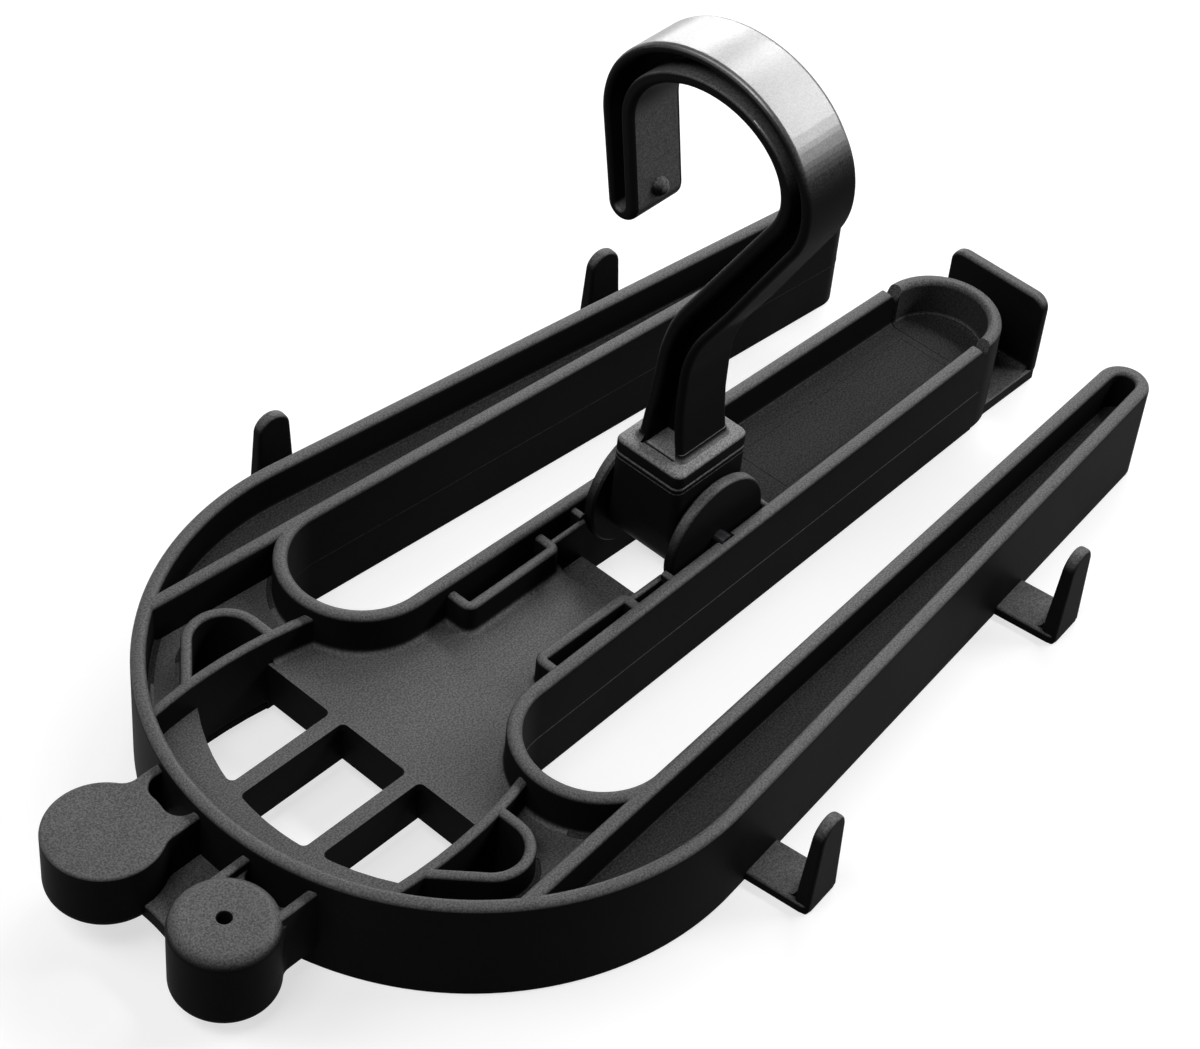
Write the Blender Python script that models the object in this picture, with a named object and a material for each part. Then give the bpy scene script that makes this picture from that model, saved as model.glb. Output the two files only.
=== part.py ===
"""Folding wetsuit hanger in black moulded plastic.

A flat U-shaped frame with two outer arms and a centre arm, an upright swivel hook that
folds down into the frame, four garment pegs, a hook plate on the centre arm's tip and
two round knobs on the nose. Units are metres. The frame rests on Z = 0, the arms point
along +X and Z is up. The pieces are drawn with the nose circle's centre at X = 0, and
the last step moves them so that the origin is under the middle of the whole length.
"""
import math

import bmesh
import bpy
from mathutils import Matrix, Vector

# Frame moulding
FRAME_HEIGHT = 0.0420
WALL = 0.0054
WALL_EDGE = 0.0012
NOSE_RADIUS = 0.1090
OUTER_ARM_TAPER = math.radians(6.4)
ARM_CHANNEL = 0.0257
RAIL_AT_ORIGIN = NOSE_RADIUS - ARM_CHANNEL
RAIL_TAPER = math.atan(0.070)
RIGHT_ARM_TIP_X = 0.2760
LEFT_ARM_SETBACK = 0.0070
LEFT_ARM_TIP_X = RIGHT_ARM_TIP_X - LEFT_ARM_SETBACK
WEB_TOP = 0.0254
WEB_THICKNESS = 0.0032

# Slots between the arms and the centre arm
SLOT_END_X = 0.0040
CENTRE_WALL_AT_ORIGIN = 0.02826
CENTRE_WALL_TAPER = math.atan(0.0253)
CENTRE_ARM_SETBACK = 0.0228
CENTRE_ARM_END = RIGHT_ARM_TIP_X - CENTRE_ARM_SETBACK
TIP_NOTCH_WIDTH = 0.0064
TIP_NOTCH_DEPTH = 0.0052

# Ribs on the nose
RIB_DROP = 0.0046
RIB_TOP = FRAME_HEIGHT - RIB_DROP
RIB = 0.0040
SKIRT_BOTTOM = 0.0070
BASE_RIB_RIM_ANGLE = math.radians(150.9)
BASE_RIB_INSET = (0.0520, 0.0543)
BASE_RIB_MID = (BASE_RIB_INSET[0] - NOSE_RADIUS, NOSE_RADIUS - BASE_RIB_INSET[1])
BASE_RIB_SLOT_ANGLE = math.radians(193.0)
D_LOOP_INSET = (0.0563, 0.0472)
D_LOOP_CENTRE = (D_LOOP_INSET[0] - NOSE_RADIUS, NOSE_RADIUS - D_LOOP_INSET[1])
D_LOOP_RADIUS = 0.0128
D_LOOP_FOOT_INSET = 0.0328
D_LOOP_FOOT_X = D_LOOP_FOOT_INSET - NOSE_RADIUS
D_CUP_FLOOR = 0.0040

# Windows in the nose
WINDOW_EDGE_INSET = 0.0662
WINDOW_EDGE_X = WINDOW_EDGE_INSET - NOSE_RADIUS
WINDOW_RIM_BAND = 0.0187
WINDOW_NOSE_RADIUS = NOSE_RADIUS - WINDOW_RIM_BAND
WINDOW_BAR_Y = 0.0180
WINDOW_BAR = 0.0059
SKIRT = 0.0030

# Pockets beside the hinge
POCKET_START_X = 0.0177
POCKET_END_X = 0.0599
POCKET_WALL_Y = 0.0164
RIDGE_Y = 0.0187
RIDGE = 0.0025

# Hinge in the centre arm
PIVOT_X = 0.1031
PIVOT_DROP = 0.0019
PIVOT_Z = FRAME_HEIGHT - PIVOT_DROP
PIVOT_PIN_RADIUS = 0.0032
PIVOT_PIN_DEPTH = 0.0024
DISC_RADIUS = 0.0241
DISC_WALL_GAP = 0.0014
DISC_THICKNESS = 0.0044
DISC_EDGE = 0.0014
DISC_NECK_RADIUS = 0.0150
HUB_WELL_START_X = 0.0765
HUB_WELL_END_X = 0.1335
STEP_X = 0.0622
STEP_SLOPE = 0.0034
STEP_DROP = 0.0046
GUIDE_RIB = 0.0030
GUIDE_RIB_REACH = 0.0045
GUIDE_RIB_DROP = 0.0025
GUIDE_RIB_TOP = FRAME_HEIGHT - GUIDE_RIB_DROP

# Swivel block under the hook
BLOCK_LENGTH = 0.0370
BLOCK_WIDTH = 0.0304
BLOCK_RISE = 0.0289
BLOCK_TOP = PIVOT_Z + BLOCK_RISE
BLOCK_ROUND = 0.0170
BLOCK_SHOULDER = 0.0060
BLOCK_CORNER = 0.0032
SPIGOT_RADIUS = 0.0070
SOCKET_DEPTH = 0.0150
SOCKET_SHELF = BLOCK_TOP - SOCKET_DEPTH
WELL_RADIUS = 0.0092
WASHER_THICKNESS = 0.0014
WASHER_RADIUS = 0.0083
SCREW_HEAD_RADIUS = 0.0048
SCREW_HEAD_HEIGHT = 0.0028
SCREW_SHANK_RADIUS = 0.0020
SCREW_SHANK_LENGTH = 0.0120

# Hook
FLANGE_HEIGHT = 0.0058
HOOK_WIDTH = 0.0245
HOOK_RING_Y = -0.0034
HOOK_RING_RISE = 0.1328
HOOK_RING_Z = BLOCK_TOP + HOOK_RING_RISE
HOOK_RING_HALF_WIDTH = 0.0368
HOOK_RING_HALF_HEIGHT = 0.0301
HOOK_FREE_ANGLE = math.radians(8.0)
HOOK_FREE_LENGTH = 0.0330
HOOK_NECK_ANGLE = math.radians(205.2)
HOOK_NECK_LENGTH = 0.0587
HOOK_BEND_RADIUS = 0.0540
HOOK_DEPTH_TIP = 0.0124
HOOK_DEPTH_CROWN = 0.0140
HOOK_DEPTH_NECK = 0.0110
HOOK_OUTER_FLANGE = 0.0034
HOOK_INNER_FLANGE = 0.0046
HOOK_WEB = 0.0034
BALL_RADIUS = 0.0035
BALL_FROM_TIP = 0.0037

# Hook plate on the centre arm's tip
TIP_STRAIGHT = 0.0019
TIP_CENTRE_X = CENTRE_ARM_END + TIP_STRAIGHT
TIP_OUTER_RADIUS = 0.0242
TIP_FOOT_BOTTOM = 0.0000
TIP_FOOT_THICKNESS = 0.0056
TIP_PLATE_REACH = 0.0372
TIP_PLATE_X = TIP_CENTRE_X + TIP_PLATE_REACH
TIP_PLATE_THICKNESS = 0.0052
TIP_PLATE_HALF_WIDTH = 0.0226
TIP_PLATE_DROP = 0.0013
TIP_PLATE_TOP = FRAME_HEIGHT - TIP_PLATE_DROP
TIP_PLATE_CORNER = 0.0060

# Garment pegs along the outer arms
FRONT_PEGS_X = 0.0301
LEFT_REAR_PEG_SETBACK = 0.0817
RIGHT_REAR_PEG_SETBACK = 0.0862
LEFT_REAR_PEG_X = LEFT_ARM_TIP_X - LEFT_REAR_PEG_SETBACK
RIGHT_REAR_PEG_X = RIGHT_ARM_TIP_X - RIGHT_REAR_PEG_SETBACK
PEG_WIDTH = 0.0190
PEG_REACH = 0.0245
PEG_FOOT_THICKNESS = 0.0038
PEG_POST_THICKNESS = 0.0062
PEG_POST_TOP_THICKNESS = 0.0044
PEG_POST_FOOT_WIDTH = 0.0180
PEG_POST_TOP_WIDTH = 0.0140
PEG_POST_DROP = 0.0024
PEG_POST_TOP = FRAME_HEIGHT - PEG_POST_DROP

# Round knobs on the nose
KNOB_DROP = 0.0045
KNOB_TOP = FRAME_HEIGHT - KNOB_DROP
KNOB_BOTTOM_ROUND = 0.0040
EAR_WIDTH = 0.0036
EAR_DROP = 0.0005
EAR_TOP = KNOB_TOP - EAR_DROP
LEFT_EARS_Y = (0.0110, 0.0338)
RIGHT_EARS_Y = (-0.0118, -0.0362)
LEFT_KNOB_REACH = 0.0273
LEFT_KNOB_CENTRE = (-NOSE_RADIUS - LEFT_KNOB_REACH, 0.0260)
LEFT_KNOB_RADIUS = 0.0204
LEFT_KNOB_EDGE = 0.0010
LEFT_KNOB_BOTTOM = 0.0130
RIGHT_KNOB_REACH = 0.0238
RIGHT_KNOB_CENTRE = (-NOSE_RADIUS - RIGHT_KNOB_REACH, -0.0257)
RIGHT_KNOB_RADIUS = 0.0182
RIGHT_KNOB_FLAT_RADIUS = 0.0137
RIGHT_KNOB_SHOULDER = 0.0050
RIGHT_KNOB_BOTTOM = 0.0055
RIGHT_KNOB_HOLE_RADIUS = 0.0025
RIGHT_KNOB_HOLE_DEPTH = 0.0150
BRIDGE_REACH = 0.0283
BRIDGE_FRONT_X = -NOSE_RADIUS - BRIDGE_REACH
BRIDGE_TOP = 0.0195
BRIDGE_THICKNESS = 0.0062

# Clearances
SEAT_GAP = 0.0003
RUNNING_GAP = 0.0004
PIN_GAP = 0.0003

# Facets
ARC_STEP = math.radians(6.0)
DRILL_TURN = math.radians(1.7)
OVERRUN = 0.0020


def clear_scene():
    for obj in list(bpy.data.objects):
        bpy.data.objects.remove(obj, do_unlink=True)


def plastic(name, colour, roughness, metallic=0.0):
    material = bpy.data.materials.new(name)
    material.use_nodes = True
    shader = material.node_tree.nodes["Principled BSDF"]
    shader.inputs["Base Color"].default_value = (*colour, 1.0)
    shader.inputs["Roughness"].default_value = roughness
    shader.inputs["Metallic"].default_value = metallic
    return material


def object_from_bmesh(name, shape):
    bmesh.ops.recalc_face_normals(shape, faces=shape.faces)
    mesh = bpy.data.meshes.new(name)
    shape.to_mesh(mesh)
    shape.free()
    obj = bpy.data.objects.new(name, mesh)
    bpy.context.collection.objects.link(obj)
    return obj


def arc(centre, radius, start, end, step=ARC_STEP):
    """Points on a circle from one angle to another, both ends included."""
    count = max(2, math.ceil(abs(end - start) / step))
    angles = [start + (end - start) * i / count for i in range(count + 1)]
    return [
        Vector((centre[0] + radius * math.cos(a), centre[1] + radius * math.sin(a)))
        for a in angles
    ]


def mirrored(points):
    return [Vector((p[0], -p[1])) for p in points]


def side_path(points, side):
    return points if side > 0 else mirrored(points)


def miter_normals(path):
    """Left-hand unit normals of an open path, lengthened at the corners."""
    normals = []
    for i, point in enumerate(path):
        before = (point - path[i - 1]).normalized() if i > 0 else None
        after = (path[i + 1] - point).normalized() if i + 1 < len(path) else None
        before = before or after
        after = after or before
        left_before = Vector((-before.y, before.x))
        left_after = Vector((-after.y, after.x))
        bisector = (left_before + left_after).normalized()
        normals.append(bisector / max(0.3, bisector.dot(left_before)))
    return normals


def wall(name, path, width, bottom, top, edge=0.0):
    """A wall of constant width along a plan path, with chamfered long edges."""
    half = width / 2
    if edge:
        profile = [
            (half, bottom + edge), (half, top - edge), (half - edge, top),
            (edge - half, top), (-half, top - edge), (-half, bottom + edge),
            (edge - half, bottom), (half - edge, bottom),
        ]
    else:
        profile = [(half, bottom), (half, top), (-half, top), (-half, bottom)]
    path = [Vector(p) for p in path]
    shape = bmesh.new()
    rings = []
    for point, normal in zip(path, miter_normals(path)):
        rings.append([
            shape.verts.new((point.x + normal.x * out, point.y + normal.y * out, height))
            for out, height in profile
        ])
    for ring, following in zip(rings, rings[1:]):
        for i in range(len(profile)):
            j = (i + 1) % len(profile)
            shape.faces.new((ring[i], ring[j], following[j], following[i]))
    shape.faces.new(rings[0])
    shape.faces.new(list(reversed(rings[-1])))
    return object_from_bmesh(name, shape)


def prism(name, outline, bottom, top):
    """A plan outline extruded upwards."""
    shape = bmesh.new()
    base = shape.faces.new([shape.verts.new((p[0], p[1], bottom)) for p in outline])
    lifted = bmesh.ops.extrude_face_region(shape, geom=[base])
    rising = [v for v in lifted["geom"] if isinstance(v, bmesh.types.BMVert)]
    bmesh.ops.translate(shape, verts=rising, vec=(0, 0, top - bottom))
    return object_from_bmesh(name, shape)


def side_prism(name, outline, start, end, plane):
    """An outline in the XZ or YZ plane extruded along Y or X."""
    obj = prism(name, outline, start, end)
    if plane == "XZ":
        turn = Matrix(((1, 0, 0, 0), (0, 0, 1, 0), (0, 1, 0, 0), (0, 0, 0, 1)))
    else:
        turn = Matrix(((0, 0, 1, 0), (1, 0, 0, 0), (0, 1, 0, 0), (0, 0, 0, 1)))
    obj.data.transform(turn)
    if turn.determinant() < 0:
        obj.data.flip_normals()
    return obj


def turned(name, profile, centre, axis="Z", step=ARC_STEP, turn=0.0):
    """A round piece from (radius, height) pairs, closed by flat faces at both ends."""
    count = math.ceil(2 * math.pi / step)
    angles = [turn + 2 * math.pi * i / count for i in range(count)]
    shape = bmesh.new()
    rings = []
    for radius, height in profile:
        rings.append([
            shape.verts.new((radius * math.cos(a), radius * math.sin(a), height))
            for a in angles
        ])
    for low, high in zip(rings, rings[1:]):
        for i in range(count):
            j = (i + 1) % count
            shape.faces.new((low[i], low[j], high[j], high[i]))
    shape.faces.new(rings[0])
    shape.faces.new(rings[-1])
    if axis == "Y":
        lay_down = Matrix.Rotation(-math.pi / 2, 4, "X")
        bmesh.ops.transform(shape, matrix=lay_down, verts=shape.verts)
    bmesh.ops.translate(shape, verts=shape.verts, vec=centre)
    return object_from_bmesh(name, shape)


def rod(name, radius, bottom, top, centre, axis="Z", step=ARC_STEP, turn=0.0):
    return turned(name, [(radius, bottom), (radius, top)], centre, axis, step, turn)


def drill(name, radius, bottom, top, centre, axis="Z", step=ARC_STEP):
    """A round cutter, turned a little so that its edges meet no other edges."""
    return rod(name, radius, bottom, top, centre, axis, step, DRILL_TURN)


def box(name, low, high):
    outline = [(low[0], low[1]), (high[0], low[1]), (high[0], high[1]), (low[0], high[1])]
    return prism(name, outline, low[2], high[2])


def rounded_rectangle(centre, length, width, corner):
    points = []
    for quarter, (sx, sy) in enumerate(((1, 1), (-1, 1), (-1, -1), (1, -1))):
        middle = (
            centre[0] + sx * (length / 2 - corner),
            centre[1] + sy * (width / 2 - corner),
        )
        start = quarter * math.pi / 2
        points += arc(middle, corner, start, start + math.pi / 2, math.radians(22.5))
    return points


def combine(target, tool, operation):
    """Apply an exact Boolean to the target and remove the tool."""
    modifier = target.modifiers.new(operation.lower(), "BOOLEAN")
    modifier.operation = operation
    modifier.solver = "EXACT"
    modifier.object = tool
    bpy.context.view_layer.update()
    evaluated = target.evaluated_get(bpy.context.evaluated_depsgraph_get())
    mesh = bpy.data.meshes.new_from_object(evaluated)
    target.modifiers.remove(modifier)
    target.data = mesh
    mesh.name = target.name
    bpy.data.objects.remove(tool, do_unlink=True)
    return target


def add(target, tool):
    return combine(target, tool, "UNION")


def cut(target, tool):
    return combine(target, tool, "DIFFERENCE")


def finish(obj, material, origin=(0, 0, 0)):
    """Give a piece its material, its origin and smooth round faces."""
    shift = Vector(origin)
    obj.data.transform(Matrix.Translation(-shift))
    obj.location = shift
    obj.data.materials.clear()
    obj.data.materials.append(material)
    obj.data.shade_smooth()
    obj.data.set_sharp_from_angle(angle=math.radians(32))
    return obj


def outer_arm_y(x):
    """Centre line of the outer arm's outer wall, at a place along the arm."""
    lean = OUTER_ARM_TAPER
    touch = (NOSE_RADIUS * math.sin(lean), NOSE_RADIUS * math.cos(lean))
    return touch[1] - (x - touch[0]) * math.tan(lean)


def rail_y(x):
    return RAIL_AT_ORIGIN - x * math.tan(RAIL_TAPER)


def centre_wall_y(x):
    return CENTRE_WALL_AT_ORIGIN - x * math.tan(CENTRE_WALL_TAPER)


def arm_tip(side):
    """Centre and radius of the round that joins the two walls at an arm's tip."""
    tip_x = LEFT_ARM_TIP_X if side > 0 else RIGHT_ARM_TIP_X
    outer = outer_arm_y(tip_x)
    inner = rail_y(tip_x)
    radius = (outer - inner) / 2 * math.cos((OUTER_ARM_TAPER + RAIL_TAPER) / 2)
    return (tip_x, (outer + inner) / 2), radius


def slot_end():
    """Centre and radius of the round that closes a slot, touching both of its walls."""
    outer = rail_y(SLOT_END_X)
    inner = centre_wall_y(SLOT_END_X)
    radius = (outer - inner) / 2
    return (SLOT_END_X, (outer + inner) / 2), radius


def rim_path():
    """Outer arm, nose circle and other outer arm, from tip to tip."""
    touch = math.pi / 2 - OUTER_ARM_TAPER
    left = [Vector((LEFT_ARM_TIP_X, outer_arm_y(LEFT_ARM_TIP_X)))]
    right = [Vector((RIGHT_ARM_TIP_X, outer_arm_y(RIGHT_ARM_TIP_X)))]
    nose = arc((0, 0), NOSE_RADIUS, touch, 2 * math.pi - touch, math.radians(4.5))
    return left + nose + mirrored(right)


def rail_path(side):
    """Round the arm's tip, then straight back along the slot to the nose rim."""
    centre, radius = arm_tip(side)
    start = math.pi / 2 - OUTER_ARM_TAPER
    end = -math.pi / 2 - RAIL_TAPER
    tip = arc(centre, radius, start, end, math.radians(15))
    meet = rim_meeting_x()
    return tip + [Vector((meet, rail_y(meet)))]


def rim_meeting_x():
    """Where the straight rail line runs into the nose circle."""
    slope = math.tan(RAIL_TAPER)
    a = 1 + slope * slope
    b = -2 * slope * RAIL_AT_ORIGIN
    c = RAIL_AT_ORIGIN ** 2 - NOSE_RADIUS ** 2
    return (-b - math.sqrt(b * b - 4 * a * c)) / (2 * a)


def slot_path():
    """Round the slot's closed end and along the centre arm to its end."""
    centre, radius = slot_end()
    start = math.pi / 2
    end = 3 * math.pi / 2
    lead = [Vector((SLOT_END_X + OVERRUN, rail_y(SLOT_END_X + OVERRUN)))]
    bend = arc(centre, radius, start, end, math.radians(9))
    return lead + bend + [Vector((CENTRE_ARM_END, centre_wall_y(CENTRE_ARM_END)))]


def base_rib_path():
    """Arc from the nose rim past the D loop to the slot's round end."""
    centre, radius = slot_end()
    first = Vector((
        NOSE_RADIUS * math.cos(BASE_RIB_RIM_ANGLE),
        NOSE_RADIUS * math.sin(BASE_RIB_RIM_ANGLE),
    ))
    last = Vector((
        centre[0] + radius * math.cos(BASE_RIB_SLOT_ANGLE),
        centre[1] + radius * math.sin(BASE_RIB_SLOT_ANGLE),
    ))
    return arc_through(first, Vector(BASE_RIB_MID), last)


def arc_through(first, middle, last):
    """Arc through three points, in the order given."""
    ax, ay = middle - first
    bx, by = last - first
    cross = 2 * (ax * by - ay * bx)
    a2 = ax * ax + ay * ay
    b2 = bx * bx + by * by
    offset = Vector(((by * a2 - ay * b2) / cross, (ax * b2 - bx * a2) / cross))
    centre = first + offset
    start = math.atan2(first.y - centre.y, first.x - centre.x)
    end = math.atan2(last.y - centre.y, last.x - centre.x)
    return arc(centre, offset.length, start, end)


def d_loop_path():
    """The D-shaped rib: foot on the base rib, round the top, straight down again."""
    base = base_rib_path()
    foot_y = height_on_path(base, D_LOOP_FOOT_X)
    centre = Vector(D_LOOP_CENTRE)
    foot = Vector((D_LOOP_FOOT_X, foot_y))
    reach = foot - centre
    turn = math.acos(D_LOOP_RADIUS / reach.length)
    touch = math.atan2(reach.y, reach.x) - turn
    straight_x = centre.x + D_LOOP_RADIUS
    down = Vector((straight_x, height_on_path(base, straight_x)))
    return [down] + arc(centre, D_LOOP_RADIUS, 0, touch % (2 * math.pi), math.radians(15)) + [foot]


def height_on_path(path, x):
    for first, second in zip(path, path[1:]):
        low, high = sorted((first.x, second.x))
        if low <= x <= high:
            share = (x - first.x) / (second.x - first.x)
            return first.y + share * (second.y - first.y)
    raise ValueError("the path does not reach that place")


def closed_loop(path, width, inside):
    """Outline of a loop's inner or outer face, closed by a straight line."""
    sign = 1 if inside else -1
    return [p + n * sign * width / 2 for p, n in zip(path, miter_normals(path))]


def make_web():
    """The floor that joins the walls, with the slots left out."""
    outline = rim_path()
    web = prism("frame", outline, WEB_TOP - WEB_THICKNESS, WEB_TOP)
    far = RIGHT_ARM_TIP_X + NOSE_RADIUS
    for side in (1, -1):
        centre, radius = slot_end()
        bend = arc(centre, radius, math.pi / 2, 3 * math.pi / 2, math.radians(9))
        opening = bend + [
            Vector((CENTRE_ARM_END, centre_wall_y(CENTRE_ARM_END))),
            Vector((CENTRE_ARM_END, 0)),
            Vector((far, 0)),
            Vector((far, rail_y(far))),
        ]
        cut(web, prism("slot", side_path(opening, side), -OVERRUN, FRAME_HEIGHT))
        tip_centre, tip_radius = arm_tip(side)
        tip = arc(tip_centre, tip_radius, math.pi / 2 - OUTER_ARM_TAPER, -math.pi / 2 - RAIL_TAPER)
        add(web, prism("tip", side_path(tip, side), WEB_TOP - WEB_THICKNESS, WEB_TOP))
    return web


def window_outline(inner_y, outer_y):
    """A window from its straight edge to the arc near the nose."""
    def on_arc(y):
        return Vector((-math.sqrt(WINDOW_NOSE_RADIUS ** 2 - y * y), y))

    steps = 8
    nose = [on_arc(inner_y + (outer_y - inner_y) * i / steps) for i in range(steps + 1)]
    return [Vector((WINDOW_EDGE_X, inner_y))] + nose + [Vector((WINDOW_EDGE_X, outer_y))]


def add_windows(frame):
    """Three windows with deep skirts, and the two bars between them."""
    web_bottom = WEB_TOP - WEB_THICKNESS
    half_bar = WINDOW_BAR / 2
    edge_y = height_on_path(base_rib_path(), WINDOW_EDGE_X)
    edge_wall_x = WINDOW_EDGE_X + SKIRT / 2
    edge_wall = [Vector((edge_wall_x, -edge_y)), Vector((edge_wall_x, edge_y))]
    add(frame, wall("skirt", edge_wall, SKIRT, SKIRT_BOTTOM, WEB_TOP - SEAT_GAP))
    reach = math.asin(BASE_RIB_MID[1] / WINDOW_NOSE_RADIUS)
    skirt_radius = WINDOW_NOSE_RADIUS + SKIRT / 2
    nose_wall = arc((0, 0), skirt_radius, math.pi - reach, math.pi + reach)
    add(frame, wall("skirt", nose_wall, SKIRT, SKIRT_BOTTOM, WEB_TOP - SEAT_GAP))
    openings = [(-WINDOW_BAR_Y + half_bar, WINDOW_BAR_Y - half_bar)]
    for side in (1, -1):
        bar_end = -math.sqrt(skirt_radius ** 2 - WINDOW_BAR_Y ** 2)
        bar = [Vector((bar_end, side * WINDOW_BAR_Y)), Vector((edge_wall_x, side * WINDOW_BAR_Y))]
        add(frame, wall("bar", bar, WINDOW_BAR, SKIRT_BOTTOM, web_bottom + SEAT_GAP))
        inner = side * (WINDOW_BAR_Y + half_bar)
        openings.append((inner, side * (BASE_RIB_MID[1] + RIB)))
    for inner_y, outer_y in openings:
        cut(frame, prism("window", window_outline(inner_y, outer_y), 0, WEB_TOP + OVERRUN))


def add_nose_ribs(frame, side):
    """Base rib and D-shaped cup on one side of the nose."""
    base = side_path(base_rib_path(), side)
    add(frame, wall("base_rib", base, RIB, SKIRT_BOTTOM, RIB_TOP))
    loop = d_loop_path()
    floor = closed_loop(loop, 0, True)
    add(frame, prism("d_floor", side_path(floor, side), D_CUP_FLOOR - SKIRT, D_CUP_FLOOR))
    add(frame, wall("d_loop", side_path(loop, side), RIB, D_CUP_FLOOR - SKIRT, RIB_TOP))
    cup = closed_loop(loop, RIB, True)
    cut(frame, prism("d_cup", side_path(cup, side), D_CUP_FLOOR, WEB_TOP + OVERRUN))


def add_pocket(frame, side):
    """Pocket wall, its two cross walls and the thin ridge beside the hinge."""
    web_bottom = WEB_TOP - WEB_THICKNESS
    seat = centre_wall_y(POCKET_START_X)
    pocket = [
        Vector((POCKET_START_X, seat)), Vector((POCKET_START_X, POCKET_WALL_Y)),
        Vector((POCKET_END_X, POCKET_WALL_Y)), Vector((POCKET_END_X, centre_wall_y(POCKET_END_X))),
    ]
    add(frame, wall("pocket", side_path(pocket, side), RIB, web_bottom, RIB_TOP))
    ridge = [Vector((POCKET_END_X, RIDGE_Y)), Vector((guide_rib_x(-1), RIDGE_Y))]
    add(frame, wall("ridge", side_path(ridge, side), RIDGE, web_bottom - STEP_DROP, RIB_TOP))


def add_hinge_bay(frame):
    """Lowered floor, well and guide ribs round the hinge."""
    step_bottom = WEB_TOP - STEP_DROP
    inside = RIDGE_Y
    floor_low = step_bottom - WEB_THICKNESS
    outline = [
        (STEP_X - WEB_THICKNESS, WEB_TOP), (STEP_X, WEB_TOP),
        (STEP_X + STEP_SLOPE, step_bottom), (HUB_WELL_START_X, step_bottom),
        (HUB_WELL_START_X, floor_low), (STEP_X - WEB_THICKNESS, floor_low),
    ]
    well_low = (STEP_X, -inside, floor_low - OVERRUN)
    well_high = (HUB_WELL_END_X, inside, WEB_TOP + OVERRUN)
    cut(frame, box("well", well_low, well_high))
    reach = centre_wall_y(PIVOT_X)
    disc_low = (PIVOT_X - DISC_RADIUS - GUIDE_RIB, -reach, floor_low - OVERRUN)
    disc_high = (PIVOT_X + DISC_RADIUS + GUIDE_RIB, reach, WEB_TOP + OVERRUN)
    cut(frame, box("disc_well", disc_low, disc_high))
    add(frame, side_prism("step", outline, -inside, inside, "XZ"))
    return frame


def disc_face_y():
    """Outer face of a disc, clear of the tapering wall where the wall is nearest."""
    return centre_wall_y(PIVOT_X + DISC_RADIUS) - WALL / 2 - DISC_WALL_GAP


def pivot_pin_end():
    """The pin's ends sit a little way inside the centre arm's walls."""
    return centre_wall_y(PIVOT_X) - WALL / 2 + PIVOT_PIN_DEPTH


def guide_rib_x(direction):
    """Middle of the guide rib before or behind the disc."""
    return PIVOT_X + direction * (DISC_RADIUS + RUNNING_GAP + GUIDE_RIB / 2)


def add_centre_wall_details(frame, side):
    """Guide ribs each side of a disc and the open seat of the pivot pin."""
    for direction in (-1, 1):
        rib_x = guide_rib_x(direction)
        face = centre_wall_y(rib_x)
        rib = [Vector((rib_x, face)), Vector((rib_x, face - WALL / 2 - GUIDE_RIB_REACH))]
        rib_wall = wall("guide_rib", side_path(rib, side), GUIDE_RIB, SKIRT_BOTTOM, GUIDE_RIB_TOP)
        add(frame, rib_wall)
    groove = PIVOT_PIN_RADIUS + PIN_GAP
    end = pivot_pin_end() + PIN_GAP
    outline = arc((PIVOT_X, PIVOT_Z), groove, math.pi, 2 * math.pi, math.radians(20))
    top = FRAME_HEIGHT + OVERRUN
    outline += [Vector((PIVOT_X + groove, top)), Vector((PIVOT_X - groove, top))]
    ends = sorted((side * disc_face_y(), side * end))
    cut(frame, side_prism("pin_seat", outline, ends[0], ends[1], "XZ"))


def make_frame(material):
    frame = make_web()
    add(frame, wall("rim", rim_path(), WALL, 0, FRAME_HEIGHT, WALL_EDGE))
    for side in (1, -1):
        rail = side_path(rail_path(side), side)
        add(frame, wall("rail", rail, WALL, 0, FRAME_HEIGHT, WALL_EDGE))
    add_windows(frame)
    for side in (1, -1):
        add_nose_ribs(frame, side)
    add_hinge_bay(frame)
    for side in (1, -1):
        add_pocket(frame, side)
        slot = side_path(slot_path(), side)
        add(frame, wall("slot_wall", slot, WALL, 0, FRAME_HEIGHT, WALL_EDGE))
        add_centre_wall_details(frame, side)
    cut(frame, tip_notch())
    return finish(frame, material)


def tip_notch():
    """V-shaped cutter across the seam between the centre arm and its rounded cap."""
    seam = CENTRE_ARM_END + SEAT_GAP / 2
    top = FRAME_HEIGHT + OVERRUN
    half = TIP_NOTCH_WIDTH / 2 * (1 + OVERRUN / TIP_NOTCH_DEPTH)
    outline = [(seam - half, top), (seam, FRAME_HEIGHT - TIP_NOTCH_DEPTH), (seam + half, top)]
    reach = 2 * TIP_OUTER_RADIUS
    return side_prism("notch", [Vector(p) for p in outline], -reach, reach, "XZ")


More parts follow.
